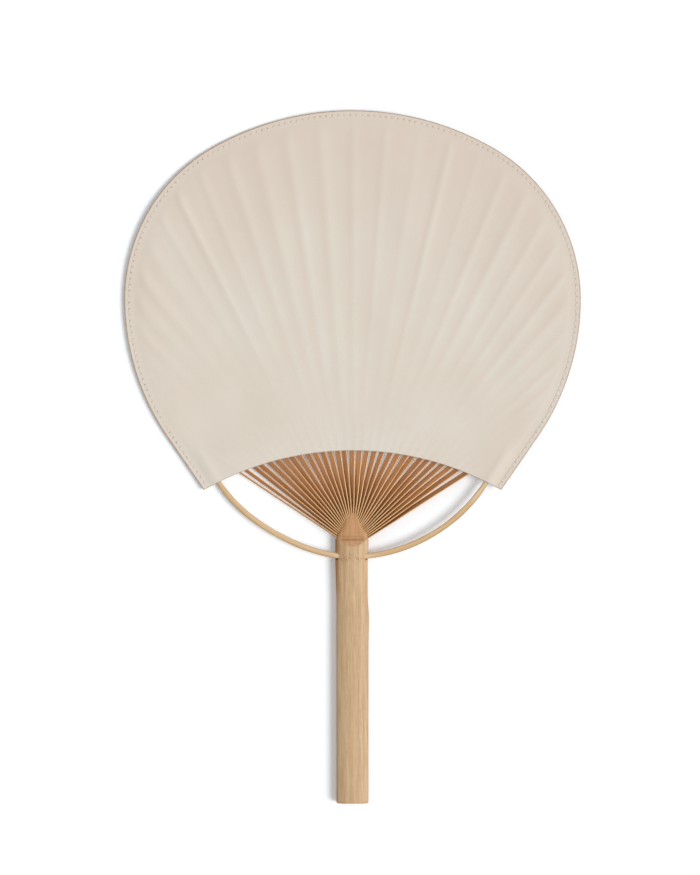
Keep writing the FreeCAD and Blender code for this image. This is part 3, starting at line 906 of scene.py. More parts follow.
def bow_path(flattening):
    """Right half of the bow from the middle of the handle: a flattened arc and then a straight tuck."""
    turn = np.linspace(0, bow_turn, bow_bend_steps)
    radius = bow_radius - flattening * np.sin(math.pi * turn / bow_turn) ** 2
    bend = bow_centre + radius[:, None] * np.column_stack([np.sin(turn), -np.cos(turn)])
    run = np.linspace(0, tuck_length, bow_tuck_steps + 1)[1:, None]
    return np.concatenate([bend, bow_entry + tuck_way * run])


left_bow = bow_path(bow_left_flattening) * (-1, 1)
right_bow = bow_path(bow_right_flattening)
bow_line = lifted(np.concatenate([left_bow[:0:-1], right_bow]), blade_plane_height)
bow_run = run_along(bow_line)
bow_length = bow_run[-1]
bow_way = unit(np.gradient(bow_line, bow_run, axis=0))
bow_up = np.tile([0.0, 0, 1], (len(bow_line), 1))
bow_right = np.cross(bow_way, bow_up)
print("bow:", round(bow_length, 3), "m long")

# %% Section and mesh of the bow
bow_sides = 18
bow_square_share = 0.62
bow_grip_width = 3.15 * mm
bow_grip_thickness = 2.35 * mm
bow_entry_width = 2.5 * mm
bow_neck_run = 9 * mm
bow_entry_thickness = 2.1 * mm
bow_tip_width = 2.2 * mm
bow_tip_thickness = 1.4 * mm
whittle_seed = 7
whittle_lengths = (19 * mm, 31 * mm, 53 * mm)
whittle_share = 0.012

from_tip = np.minimum(bow_run, bow_length - bow_run)
taper = np.clip(1 - from_tip / tuck_length, 0, 1)
thinned = 1 - np.clip((from_tip - tuck_length) / (bow_length / 2 - tuck_length), 0, 1)
neck = 1 - smooth_step(tuck_length, tuck_length + bow_neck_run, from_tip)
dice = np.random.default_rng(whittle_seed)
whittle = np.zeros(len(bow_line))
for wave_length in whittle_lengths:
    whittle += whittle_share * np.sin(full_turn * (bow_run / wave_length + dice.random()))
half_wide = bow_grip_width / 2 * (1 + whittle) - (bow_grip_width - bow_entry_width) / 2 * neck
half_wide -= (bow_entry_width - bow_tip_width) / 2 * taper
half_thick = (bow_grip_thickness + (bow_entry_thickness - bow_grip_thickness) * thinned) / 2
half_thick -= (bow_entry_thickness - bow_tip_thickness) / 2 * taper
rounded = round_section(np.linspace(0, full_turn, bow_sides, endpoint=False))
rounded = np.sign(rounded) * np.abs(rounded) ** bow_square_share
bow_section = rounded[None] * np.stack([half_wide, half_thick], axis=1)[:, None]
bow_points, bow_faces = sweep(bow_line, bow_right, bow_up, bow_section)
bow_bamboo = bamboo(
    "bow bamboo", pale=paint(224, 197, 158), dark=paint(201, 164, 121), fleck=paint(168, 120, 76),
    fibre_width=0.4 * mm, fibre_run=60, fleck_share=0.1, bump=0.06 * mm, pared=(0.88, 0.76, 0.6, 1))
bow = keep_piece("bow", bow_points, bow_faces, [bow_bamboo], ["bow"])
print("bow:", len(bow_faces), "faces")


# %% Grain and tone of the bow
def swept_grain(section, along):
    """Place in the grain of each point of a swept piece: across, along and through the wood."""
    along = np.broadcast_to(along[:, None], section.shape[:2])
    return np.stack([section[..., 0], along, section[..., 1]], axis=-1).reshape(-1, 3)


half_start_shares = (0.05, 0.2)
left_fade_shares = (0.3, 0.9)
left_fade_depth_share = 0.35
right_end_shares = (0.8, 0.9)
left_warm_shares = (0.05, 0.5)
left_warm_share = 0.6
core_aside_share = 0.1
core_spread_share = 0.6
skin_side_shares = (0.2, 0.9)
skin_shade_share = 0.24
right_skin_shade_share = 0.12
bow_tone = 1.03

arc_share = (bow_run / bow_length - 0.5)[:, None] / (0.5 - tuck_length / bow_length)
on_right = smooth_step(*half_start_shares, arc_share)
on_left = smooth_step(*half_start_shares, -arc_share)
on_left = on_left * (1 - left_fade_depth_share * smooth_step(*left_fade_shares, -arc_share))
across = rounded[None, :, 0]
core = bell(across - core_aside_share, core_spread_share)
warm = on_right * (1 - smooth_step(*right_end_shares, arc_share)) * core
warm = warm + left_warm_share * on_left * smooth_step(*left_warm_shares, across)
skin_shade = (skin_shade_share + right_skin_shade_share * on_right) * smooth_step(*skin_side_shares, across)
mark_points(bow, "grain_place", swept_grain(bow_section, bow_run))
mark_points(bow, "brown_tint_share", warm.ravel())
mark_points(bow, "slice_tone", (bow_tone - skin_shade).ravel())
print("bow tone from", round(float((bow_tone - skin_shade).min()), 2), "to", bow_tone)

# %% [markdown]
# ## The ribs
#
# The ribs are slices of the culm, half a millimetre thick. At the root they stand on edge side by side, and
# on the way up each one turns until it lies almost flat under the leather. One rib could be copied round,
# but slices split by hand are never alike, so each gets its own small bend, turn and tone from a seeded
# draw. The flat faces are the brown inner wood and the narrow edges the paler skin; part of the difference
# between them is painted, as shade on the flats and a highlight on the edges.

# %% Line of each rib
rib_search_step = 0.01 * mm
crown_centre = np.array([0, top_y - crown_radius])
shoulder_centre = np.array([half_blade - shoulder_radius, widest_y])
side_centre = np.array([half_blade - side_radius, widest_y])
flank_normal = np.array([math.cos(flank_lean), -math.sin(flank_lean)])
flank_top = side_centre + flank_normal * side_radius


def rim_inset(x, y):
    """Distance inside the cut edge of the round rim."""
    x = np.abs(x)
    about_shoulder = np.arctan2(y - shoulder_centre[1], x - shoulder_centre[0])
    about_side = np.arctan2(y - side_centre[1], x - side_centre[0])
    crown = crown_radius - np.hypot(x, y - crown_centre[1])
    shoulder = shoulder_radius - np.hypot(x - shoulder_centre[0], y - shoulder_centre[1])
    side = side_radius - np.hypot(x - side_centre[0], y - side_centre[1])
    flank = (flank_top[0] - x) * flank_normal[0] + (flank_top[1] - y) * flank_normal[1]
    upper = np.where(about_shoulder > quarter_turn - blade_crown_turn, crown, shoulder)
    lower = np.where(about_side < -flank_lean, flank, side)
    return np.where(y > widest_y, upper, lower)


def rib_line(index):
    """Root, place on the lower edge, way into the blade and run in the blade of one rib."""
    root = head_point(index * root_pitch)
    entry = mouth_point(index * mouth_pitch)
    way = unit(entry - fan_point)
    short, long = 0.0, blade_reach
    while long - short > rib_search_step:
        middle = (short + long) / 2
        if rim_inset(*(entry + way * middle)) > rib_rim_margin:
            short = middle
        else:
            long = middle
    mirror = np.array([math.copysign(1, index), 1])
    across = tuck_across * mirror
    closing = way @ across
    if closing > 0:
        beside_bow = (bow_entry * mirror - entry) @ across - (bow_width + rib_depth) / 2 - rib_bow_clearance
        short = min(short, beside_bow / closing)
    return root, entry, way, short


print("middle rib runs", round(rib_line(0)[3], 4), "m into the blade")

# %% Rib finishes
# Flats and edges differ as inner wood and skin do, and partly as painted shade and a painted highlight.
rib_flat_bamboo_shaded = bamboo(
    "rib flats with painted shade", pale=paint(197, 141, 94), dark=paint(170, 114, 72), fleck=paint(132, 84, 50),
    fibre_width=0.42 * mm, fibre_run=60, fleck_share=0.2, bump=0.05 * mm)
rib_edge_bamboo_lit = bamboo(
    "rib edges with painted highlight", pale=paint(236, 191, 138), dark=paint(216, 168, 115), fleck=paint(160, 112, 70),
    fibre_width=0.25 * mm, fibre_run=60, fleck_share=0.1, bump=0.04 * mm, tone_name="edge_tone")
print("rib finishes:", rib_flat_bamboo_shaded.name, "and", rib_edge_bamboo_lit.name)

# %% Path, turn and section of a rib
rib_open_stations = 34
rib_hidden_shares = (0.02, 0.05, 0.09, 0.3, 0.55, 0.8, 1.0)
rib_root_step = 0.1 * mm
rib_root_seat = 0.5 * mm
rib_root_dip = 0.5 * mm
rib_root_rise = 3.2 * mm
rib_root_tilt = math.radians(76)
rib_turn_share = 0.62
rib_bend = 0.25 * mm
rib_wave_share = 0.4
rib_waves = 1.3
rib_split_thickness = 0.5 * mm
rib_root_fill_share = 0.7
rib_corner_share = 0.2
rib_bevel_run = 0.38 * mm
rib_bevel_fall_share = 0.5
rib_bevel_fade_share = 0.5
rib_mouth_depth_share = 0.84


def rib_path(index, met, bend, wave):
    """Points of a rib's middle, from its seat on the tongue to its tip inside the blade."""
    root, entry, way, run = rib_line(index)
    open_way = unit(met - root)
    aside = np.array([open_way[1], -open_way[0]])
    share = np.linspace(0, 1, rib_open_stations)
    sway = bend * np.sin(math.pi * share) * share
    sway += rib_wave_share * wave * np.sin(full_turn * rib_waves * share) * share * (1 - share)
    flat_path = root + np.outer(share, met - root) + np.outer(rib_bend * sway, aside)
    while abs(flat_path[0, 0]) > head_half(flat_path[0, 1]) - rib_root_seat:
        flat_path[0] -= open_way * rib_root_step
    hidden = met + np.outer(rib_hidden_shares, entry + way * run - met)
    path = lifted(np.concatenate([flat_path, hidden]), blade_plane_height)
    path[:, 2] -= rib_root_dip * (1 - smooth_step(0, rib_root_rise, run_along(path)))
    return path


def rib_frame(path, open_share, mouth_tilt):
    """Ways across the width and the thickness of a rib, which turns from upright to almost flat."""
    ways = unit(np.gradient(path, run_along(path), axis=0))
    right = np.column_stack([ways[:, 1], -ways[:, 0], np.zeros(len(ways))])
    inside = np.linalg.norm(path[:, :2] - mouth_centre, axis=1) - mouth_radius
    tilt = rib_root_tilt + (mouth_tilt - rib_root_tilt) * open_share**rib_turn_share
    tilt *= 1 - smooth_step(0, rib_flat_circle - mouth_radius, inside)
    wide = right * np.cos(tilt)[:, None] + np.array([0, 0, 1.0]) * np.sin(tilt)[:, None]
    return wide, np.cross(wide, ways)


def rib_section(index, met, depth, open_share, split):
    """Section points at each station: one bevelled corner, three small ones, thicker at the root."""
    open_way = unit(met - head_point(index * root_pitch))
    beside = head_point((index + 0.5) * root_pitch) - head_point((index - 0.5) * root_pitch)
    root_gap = abs(beside @ np.array([open_way[1], -open_way[0]]))
    root_thickness = max(rib_root_fill_share * root_gap, rib_split_thickness)
    thickness = rib_split_thickness + (rib_thickness - rib_split_thickness) * open_share
    thickness = thickness + (root_thickness - rib_split_thickness) * (1 - split)
    a = depth / 2 * (1 + (rib_mouth_depth_share - 1) * open_share)
    b = thickness / 2
    c = thickness * rib_corner_share
    fall = thickness * rib_bevel_fall_share
    bevel = rib_bevel_run * (1 - rib_bevel_fade_share * open_share)
    corners = [(a, -b + c), (a, b - fall), (a - bevel, b), (-a + c, b),
               (-a, b - c), (-a, -b + c), (-a + c, -b), (a - c, -b)]
    return np.moveaxis(np.array(corners), 2, 0)


print("rib stations:", rib_open_stations + len(rib_hidden_shares))

# %% The 31 ribs
rib_seed = 31
rib_split_run = 6 * mm
rib_depth_slip_share = 0.02
rib_seen_tilt = math.radians(15)
rib_side_tilt = math.radians(16)
rib_tilt_slip = math.radians(3.5)
rib_entry_slip = 0.5 * mm
left_rib_depth_shares = (0.5, 0.86, 0.94)
left_rib_tilts = [math.radians(t) for t in (52, 40, 36, 29)]
rib_flat_sides = (2, 6)
rib_grain_step = 20 * mm
rib_tone_slip_share = 0.08
rib_root_shade_share = 0.78
rib_root_edge_share = 0.8
rib_root_shade_run_share = 0.7
rib_edge_tone = 1.03
dice = np.random.default_rng(rib_seed)
ribs = []
for number in range(rib_count):
    index = number - half_count
    slip, bend, tilt_slip, tone, wave = dice.uniform(-1, 1, 5)
    depth = rib_depth * (1 + rib_depth_slip_share * wave)
    mouth_tilt = rib_seen_tilt + rib_side_tilt * (index / half_count) ** 2 + rib_tilt_slip * tilt_slip
    if number < len(left_rib_depth_shares):
        depth = rib_depth * left_rib_depth_shares[number]
    if number < len(left_rib_tilts):
        mouth_tilt = left_rib_tilts[number]
    met = mouth_point(index * mouth_pitch + rib_entry_slip * slip)
    path = rib_path(index, met, bend, wave)
    along = run_along(path)
    open_share = np.clip(along / along[rib_open_stations - 1], 0, 1)
    split = smooth_step(0, rib_split_run, along)
    section = rib_section(index, met, depth, open_share, split)
    points, faces = sweep(path, *rib_frame(path, open_share, mouth_tilt), section)
    sides = section.shape[1]
    kinds = [0 if face % sides in rib_flat_sides else 1 for face in range(len(faces))]
    rib = keep_piece(
        f"rib_piece_{number + 1:02d}", points, faces, [rib_flat_bamboo_shaded, rib_edge_bamboo_lit],
        [f"rib_{number + 1:02d}"], kinds, sharp_degrees=22)
    grain = swept_grain(section, along + dice.random())
    mark_points(rib, "grain_place", grain + (index * rib_grain_step, 0, 0))
    own_tone = 1 + rib_tone_slip_share * tone
    # The flats are darker towards the root: painted shade where the ribs stand close together.
    from_root = smooth_step(0, rib_root_shade_run_share, open_share)
    flat_tone = own_tone * (rib_root_shade_share + (1 - rib_root_shade_share) * from_root)
    edge_tone = rib_edge_tone * own_tone * (rib_root_edge_share + (1 - rib_root_edge_share) * split)
    mark_points(rib, "slice_tone", np.repeat(flat_tone, sides))
    mark_points(rib, "edge_tone", np.repeat(edge_tone, sides))
    ribs.append(rib)
print("ribs:", len(ribs), "with", len(ribs[0].data.polygons), "faces each")

# %% [markdown]
# ## The leather sheets
#
# Each face of the blade is one sheet of pale, undyed leather. It is flat along the sewn rim, shows a soft
# ridge over every rib, flares a little at the open lower edge and swells over the two ends of the bow. A
# cloth simulation could press a sheet over the ribs, but real ridges are soft and shallow, and a height for
# each point of a fine grid gives them directly. The grid's columns run along the ribs, and along the rim they
# keep step with the stitches, so that every needle hole has points of its own.

# %% Walk round the seam
leather_thickness = 0.9 * mm
seam_inset = 2.5 * mm
seam_end_gap = 2.0 * mm
stitch_pitch = 3.3 * mm

mirrored = np.array([-1, 1])
shoulder_turn = quarter_turn - blade_crown_turn
# Arcs from the right corner over the top to the left: centre, radius, first normal, turn.
seam_arcs = [
    (side_centre, side_radius, -flank_lean, flank_lean),
    (shoulder_centre, shoulder_radius, 0, shoulder_turn),
    (crown_centre, crown_radius, shoulder_turn, 2 * blade_crown_turn),
    (shoulder_centre * mirrored, shoulder_radius, quarter_turn + blade_crown_turn, shoulder_turn),
    (side_centre * mirrored, side_radius, math.pi, flank_lean),
]
seam_top = flank_top - flank_normal * seam_inset
seam_flank = (seam_top[1] - corner_y - seam_end_gap) / math.cos(flank_lean)
seam_lengths = [(radius - seam_inset) * turn for _, radius, _, turn in seam_arcs]
seam_length = 2 * seam_flank + sum(seam_lengths)
stitch_count = round(seam_length / stitch_pitch)
stitch_step = seam_length / stitch_count


def seam_frame(run):
    """Place on the seam and outward normal, at runs along it."""
    run = np.asarray(run, float)
    normal_angle = np.full(run.shape, -flank_lean)
    climb = np.array([math.sin(flank_lean), math.cos(flank_lean)])
    place = seam_top + (run - seam_flank)[:, None] * climb
    start = seam_flank
    for (centre, radius, first_angle, _), length in zip(seam_arcs, seam_lengths):
        on_arc = run >= start
        angle = first_angle + np.minimum(run - start, length) / (radius - seam_inset)
        on_circle = centre + (radius - seam_inset) * round_section(angle)
        place = np.where(on_arc[:, None], on_circle, place)
        normal_angle = np.where(on_arc, angle, normal_angle)
        start += length
    beyond = np.maximum(run - start, 0)
    place = place + beyond[:, None] * climb * (1, -1)
    return place, round_section(normal_angle)


print("seam:", round(seam_length, 4), "m,", stitch_count, "stitches")

# %% Columns and rows of the grid
stitch_column_shares = (0, 0.08, 0.17, 0.5, 0.83, 0.92)
rim_rows = np.array([0, 0.1, 0.28, 0.58, 0.9, 1.3, 1.75, 2.1, 2.3, 2.5, 2.7, 2.9, 3.3, 3.9, 4.8, 6.0]) * mm
mouth_rows = np.array([7, 5, 3.6, 2.5, 1.6, 1.0, 0.6, 0.3, 0.12, 0]) * mm
middle_row_count = 30
middle_row_power = 1.25
mouth_rows_fit = 18 * mm
corner_blend = 4 * mm

corner_run = seam_end_gap / math.cos(flank_lean) - seam_inset * math.tan(flank_lean)
column_runs = [-corner_run, -corner_run / 2]
for stitch in range(stitch_count):
    column_runs += [(stitch + share) * stitch_step for share in stitch_column_shares]
column_runs += [seam_length, seam_length + corner_run / 2, seam_length + corner_run]
column_runs = np.array(column_runs)
seam_place, seam_normal = seam_frame(column_runs)
rim_place = seam_place + seam_normal * seam_inset
rim_grid = rim_place[None] - seam_normal[None] * rim_rows[:, None, None]
from_corner = np.minimum(column_runs + corner_run, seam_length + corner_run - column_runs)
to_mouth = rim_grid - mouth_centre
from_mouth = np.linalg.norm(to_mouth, axis=2)
onto_mouth = to_mouth / from_mouth[..., None] * (from_mouth - mouth_radius)[..., None]
rim_grid = rim_grid - onto_mouth * (np.clip(1 - from_corner / corner_blend, 0, 1) ** 2)[None, :, None]

inner_rim = rim_grid[-1]
to_fan = unit(fan_point - inner_rim)
offset = inner_rim - mouth_centre
along = np.einsum("ij,ij->i", offset, to_fan)
reach = -along - np.sqrt(np.maximum(along**2 - np.einsum("ij,ij->i", offset, offset) + mouth_radius**2, 0))
reach = np.maximum(reach, 0)
low_rows = mouth_rows[:, None] * np.minimum(1, reach / mouth_rows_fit)[None]
middle_share = np.linspace(0, 1, middle_row_count + 1)[1:, None] ** middle_row_power
middle_rows = (reach - low_rows[0])[None] * middle_share
run_rows = np.concatenate([middle_rows, reach[None] - low_rows[1:]])
grid = np.concatenate([rim_grid, inner_rim[None] + to_fan[None] * run_rows[..., None]])
grid_rows, grid_columns = grid.shape[:2]
print("leather grid:", grid_rows, "rows,", grid_columns, "columns")

# %% Places on the sheet
x, y = grid[..., 0], grid[..., 1]
inset = rim_inset(x, y)
inset[: len(rim_rows)] = np.minimum(inset[: len(rim_rows)], rim_rows[:, None])
above_mouth = np.maximum(np.hypot(x, y - mouth_centre[1]) - mouth_radius, 0)
fan_run = np.hypot(x, y - fan_y)
fan_angle = np.arctan2(x, y - fan_y)
print("sheet reaches", round(inset.max(), 4), "m in from the rim")

# %% What each rib does to the leather
leather_seed = 12
ridge_width = 3.0 * mm
ridge_height = 0.25 * mm
ridge_left_gain = 2.6
ridge_lean = 0.5 * mm
ridge_strength_shares = (0.5, 1.35)
ridge_width_shares = (0.8, 1.5)
ridge_tip_span = (6 * mm, 11 * mm)
ridge_low_span = (25 * mm, 165 * mm)
flank_width_share = 0.68
flank_foot = 8 * mm
flank_middle_rise = 45 * mm
flank_side_rise = 35 * mm
flank_side_turns = (0.1, 0.5)
flank_fade_share = 0.6
flank_fade_span = (110 * mm, 160 * mm)
smudge_aside = 7 * mm
smudge_spread = 3.4 * mm
smudge_inset = 15 * mm
smudge_reach = 7 * mm
ruffle_height = 0.1 * mm
ruffle_aside = 1.2 * mm
ruffle_spread = 1.3 * mm
ruffle_reach = 14 * mm
ruffle_rim_span = (3 * mm, 12 * mm)

dice = np.random.default_rng(leather_seed)
ridges = np.zeros_like(x)
flank_light_paint = np.zeros_like(x)
ruffle = np.zeros_like(x)
stain = np.zeros_like(x)
for index in range(-half_count, half_count + 1):
    place = mouth_point(index * mouth_pitch)
    rib_angle = math.atan2(place[0], place[1] - fan_y)
    lean = dice.uniform(-ridge_lean, ridge_lean)
    share = dice.uniform(*ridge_strength_shares)
    leftness = smooth_step(0, 1, -rib_angle)
    spread = ridge_width * dice.uniform(*ridge_width_shares)
    aside = fan_run * np.sin(fan_angle - rib_angle) - lean
    ridges += ridge_height * (1 + ridge_left_gain * leftness) * share * bell(aside, spread)
    # Flank term for painted light: it follows the slope of each ridge towards the lamp.
    fold = aside / (flank_width_share * spread)
    flank_light_paint += (1 - leftness) * share * fold * bell(fold, 1)
    stain += dice.uniform(0, 1) * bell(aside - smudge_aside, smudge_spread)
    ruffle += ruffle_height * bell(aside - ruffle_aside, ruffle_spread)
tip_fade = smooth_step(*ridge_tip_span, inset)
ridges *= tip_fade * smooth_step(*ridge_low_span, above_mouth)
flank_top_rise = flank_middle_rise + flank_side_rise * smooth_step(*flank_side_turns, np.abs(fan_angle))
flank_light_paint *= tip_fade * smooth_step(flank_foot, flank_top_rise, above_mouth)
flank_light_paint *= 1 - flank_fade_share * smooth_step(*flank_fade_span, above_mouth)
stain *= bell(inset - smudge_inset, smudge_reach)
ruffle *= np.exp(-above_mouth / ruffle_reach) * smooth_step(*ruffle_rim_span, inset)
print("ridges up to", round(ridges.max() / mm, 2), "mm")

# %% Room between the sheets
pleat_valley = 0.26 * mm
flare_height = 0.98 * mm
flare_fade = 22 * mm
lacing_height = 0.92 * mm
tunnel_height = 1.22 * mm
tunnel_spread = 4.2 * mm
tunnel_fade_before = 4 * mm
tunnel_fade_after = 22 * mm
tunnel_rim_span = (2.6 * mm, 6.5 * mm)
rim_flat_width = 4.2 * mm
rim_slope_width = 8.5 * mm
rim_slope_height = 1.75 * mm
room_blend = 0.22 * mm

flare = np.interp(above_mouth, [0, lacing_inset, lacing_inset + flare_fade], [flare_height, lacing_height, 0])
from_entry = np.stack([np.abs(x), y], axis=-1) - bow_entry
tunnel = bell(from_entry @ tuck_across, tunnel_spread)
tunnel_fade_span = (tuck_length - tunnel_fade_before, tuck_length + tunnel_fade_after)
tunnel *= 1 - smooth_step(*tunnel_fade_span, from_entry @ tuck_way)
rim_limit = rim_slope_height * smooth_step(rim_flat_width, rim_flat_width + rim_slope_width, inset)
room = soft_max(pleat_valley + ridges, flare + ruffle, room_blend)
room = soft_min(room, rim_limit, room_blend)
room = soft_max(room, tunnel_height * tunnel * smooth_step(*tunnel_rim_span, inset), room_blend)
room = np.maximum(room - room_blend / 2, 0)
print("most room under the leather:", round(room.max() / mm, 2), "mm")

# %% Soft unevenness, seam groove and needle holes
swell_lengths = (24 * mm, 33 * mm, 47 * mm, 71 * mm)
swell_share = 0.0016
swell_rim_span = (5 * mm, 18 * mm)
groove_depth = 0.02 * mm
groove_width = 0.8 * mm
hole_depth = 0.3 * mm
needle_radius = 0.42 * mm
hole_shade_shares = (0.12, 0.68)
lit_hole_share = 0.5
lit_hole_place_share = 0.4
lit_hole_spread_share = 0.16
knife_edge_span = (0.1 * mm, 0.5 * mm)
knife_edge_share = 0.55

swell = np.zeros_like(x)
for wave_length in swell_lengths:
    heading = dice.uniform(0, math.pi)
    waves = (x * math.cos(heading) + y * math.sin(heading)) / wave_length + dice.random()
    swell += wave_length * swell_share * np.sin(full_turn * waves)
swell *= smooth_step(*swell_rim_span, inset)

nearest_stitch = np.clip(np.round(column_runs / stitch_step), 0, stitch_count).astype(int)
from_hole = np.hypot((column_runs - nearest_stitch * stitch_step)[None], inset - seam_inset)
on_seam = ((column_runs > -stitch_step / 4) & (column_runs < seam_length + stitch_step / 4))[None]
# Needle holes get painted shade, by a random amount each and less on the upper right, where the lamp reaches
# in.
hole_shade_tone = dice.uniform(*hole_shade_shares, stitch_count + 1)[nearest_stitch]
lit_holes = bell(column_runs / seam_length - lit_hole_place_share, lit_hole_spread_share)
hole_shade_tone = hole_shade_tone * (1 - lit_hole_share * lit_holes)
hole_mask = bell(from_hole, needle_radius) * on_seam * (inset < 2 * seam_inset)
groove = groove_depth * bell(inset - seam_inset, groove_width) * on_seam
# A dark line along the cut lower edge: partly the browner cut edge, partly painted shade.
knife_edge = 1 - smooth_step(*knife_edge_span, above_mouth)
hole_and_edge_shade = np.maximum(hole_mask * hole_shade_tone, knife_edge_share * knife_edge)
print("needle holes:", stitch_count + 1)

# %% Where the hide is browner, with painted light on the ridge flanks
tan_start_rise = 90 * mm
tan_top_gap = 10 * mm
tan_right_start = 20 * mm
pale_patch_rise = 40 * mm
pale_patch_half_width = 60 * mm
pale_patch_half_height = 50 * mm
tan_least_share = 0.1
tan_upward_share = 0.38
tan_right_share = 0.1
tan_stain_share = 0.22
tan_patch_share = 0.2
tan_base_share = 0.15
tan_flank_light_share = 0.5

upward = smooth_step(corner_y + tan_start_rise, top_y - tan_top_gap, y)
rightward = smooth_step(tan_right_start, half_blade, x)
pale_patch = bell(x, pale_patch_half_width) * bell(y - mouth_y - pale_patch_rise, pale_patch_half_height)
hide_tan = tan_least_share + tan_upward_share * upward + tan_right_share * rightward
hide_tan = np.clip(hide_tan + tan_stain_share * stain - tan_patch_share * pale_patch, 0, 1)
# Painted light and shade on the ridges: less tan where a flank faces the lamp, more where it faces away.
hide_tan = tan_base_share + (1 - tan_base_share) * hide_tan - tan_flank_light_share * flank_light_paint
print("tan from", round(hide_tan.min(), 2), "to", round(hide_tan.max(), 2))

# %% Heights of the outer and the inner face
edge_insets = (0, 0.08 * mm, 0.22 * mm, 0.45 * mm)
edge_drop_shares = (0.42, 0.16, 0.05, 0)
mouth_insets = (0, 0.12 * mm, 0.35 * mm)
mouth_drop_shares = (0.25, 0.06, 0)
inner_swell_share = 0.5
inner_gap = 0.015 * mm

edge_drop = np.interp(inset, edge_insets, edge_drop_shares) * leather_thickness
mouth_drop = np.interp(above_mouth, mouth_insets, mouth_drop_shares) * leather_thickness
outer_height = leather_thickness + room + swell - groove - hole_mask * hole_depth
outer_height = outer_height - np.maximum(edge_drop, mouth_drop)
inner_height = np.maximum(room + np.minimum(swell, 0) * inner_swell_share, inner_gap)
print("leather face up to", round(outer_height.max() / mm, 2), "mm above the middle plane")

# %% Mesh of one sheet
inner_rim_rows = (0, 4, 9, 13)
inner_first_row = 2
inner_row_step = 5
cut_edge_rows = 3
inner_rows = [*inner_rim_rows, len(rim_rows) - 1]
inner_rows += [*range(len(rim_rows) + inner_first_row, grid_rows - 1, inner_row_step), grid_rows - 1]


def grid_faces(rows, columns):
    """Faces of a grid of points."""
    first = (np.arange(rows - 1)[:, None] * columns + np.arange(columns - 1)[None]).ravel()
    return np.column_stack([first, first + 1, first + columns + 1, first + columns])


def sheet_mesh(side):
    """Points, faces and face kinds of a closed sheet on the front (1) or the back (-1) of the blade."""
    outer = np.stack([x, y, blade_plane_height + side * outer_height], axis=-1)
    inner = np.stack([x, y, blade_plane_height + side * inner_height], axis=-1)[inner_rows]
    outer_faces = grid_faces(grid_rows, grid_columns)
    skip = grid_rows * grid_columns
    inner_faces = grid_faces(len(inner_rows), grid_columns)[:, ::-1] + skip
    columns = np.arange(grid_columns - 1)
    edges = []
    for outer_row, inner_row in ((0, 0), (grid_rows - 1, len(inner_rows) - 1)):
        top = outer_row * grid_columns + columns
        low = skip + inner_row * grid_columns + columns
        edges += list(np.column_stack([top, low, low + 1, top + 1]))
    for column in (0, grid_columns - 1):
        for step, (upper, lower) in enumerate(zip(inner_rows, inner_rows[1:])):
            top = [row * grid_columns + column for row in range(upper, lower + 1)]
            low = [skip + (step + 1) * grid_columns + column, skip + step * grid_columns + column]
            edges.append(top + low)
    at_rim = np.arange(len(outer_faces)) < cut_edge_rows * (grid_columns - 1)
    kinds = np.concatenate([at_rim, np.zeros(len(inner_faces)), np.ones(len(edges))])
    points = np.concatenate([outer.reshape(-1, 3), inner.reshape(-1, 3)])
    return points, [*outer_faces, *inner_faces, *edges], kinds


def sheet_mark(values):
    """Values for the outer face, and 0 for the inner one."""
    return np.concatenate([values.ravel(), np.zeros(len(inner_rows) * grid_columns)])


print("inner face:", len(inner_rows), "rows")

# %% [markdown]
# ## Leather finish
#
# Vegetable-tanned leather is smooth and matt, with pores a fraction of a millimetre apart and a tone that
# drifts from cream to tan over a few centimetres. Pores could be modelled, but they are far smaller than the
# grid, so cells and noise give them as a bump. The cut edge is the same hide, browner and more fibrous, so
# both take one node group with their own values.

# %% Node group: hide grain
crease_scale = 0.35
drift_span = (0.3, 0.72)
speckle_span = (-0.4, 0.4)
pore_height_share = 0.5
hide_crease_span = (0.3, 0.7)
hide_roughness_span = (0.56, 0.7)

hide_group, hide_in, hide_out = start_group(
    "hide grain",
    {"Place": VECTOR, "Pore Size": VALUE, "Drift Size": VALUE, "Pale": COLOUR, "Tan": COLOUR},
    {"Colour": COLOUR, "Height": VALUE, "Roughness": VALUE},
)
drift_place = scale_place(hide_group, "DIVIDE", hide_in["Place"], hide_in["Drift Size"])
pore_place = scale_place(hide_group, "DIVIDE", hide_in["Place"], hide_in["Pore Size"])
drift = add_noise(hide_group, drift_place, scale=1, detail=5, roughness=0.62)
pores = add_node(hide_group, "ShaderNodeTexVoronoi", {"Vector": pore_place, "Scale": 1}).outputs["Distance"]
creases = add_noise(hide_group, pore_place, scale=crease_scale, detail=4, roughness=0.6)
drift_share = remap(hide_group, drift, from_span=drift_span)
speckle = remap(hide_group, creases, to_span=speckle_span)
tan_share = calculate(hide_group, "ADD", drift_share, speckle)
set_sockets(hide_group, hide_out, {
    "Colour": mix_colours(hide_group, tan_share, hide_in["Pale"], hide_in["Tan"]),
    "Height": calculate(hide_group, "MULTIPLY_ADD", pores, pore_height_share, creases),
    "Roughness": remap(hide_group, creases, hide_crease_span, hide_roughness_span)})
print("hide group:", len(hide_group.nodes), "nodes")

# %% Two leather materials
leather_gloss = 0.3
leather_bump_share = 0.3


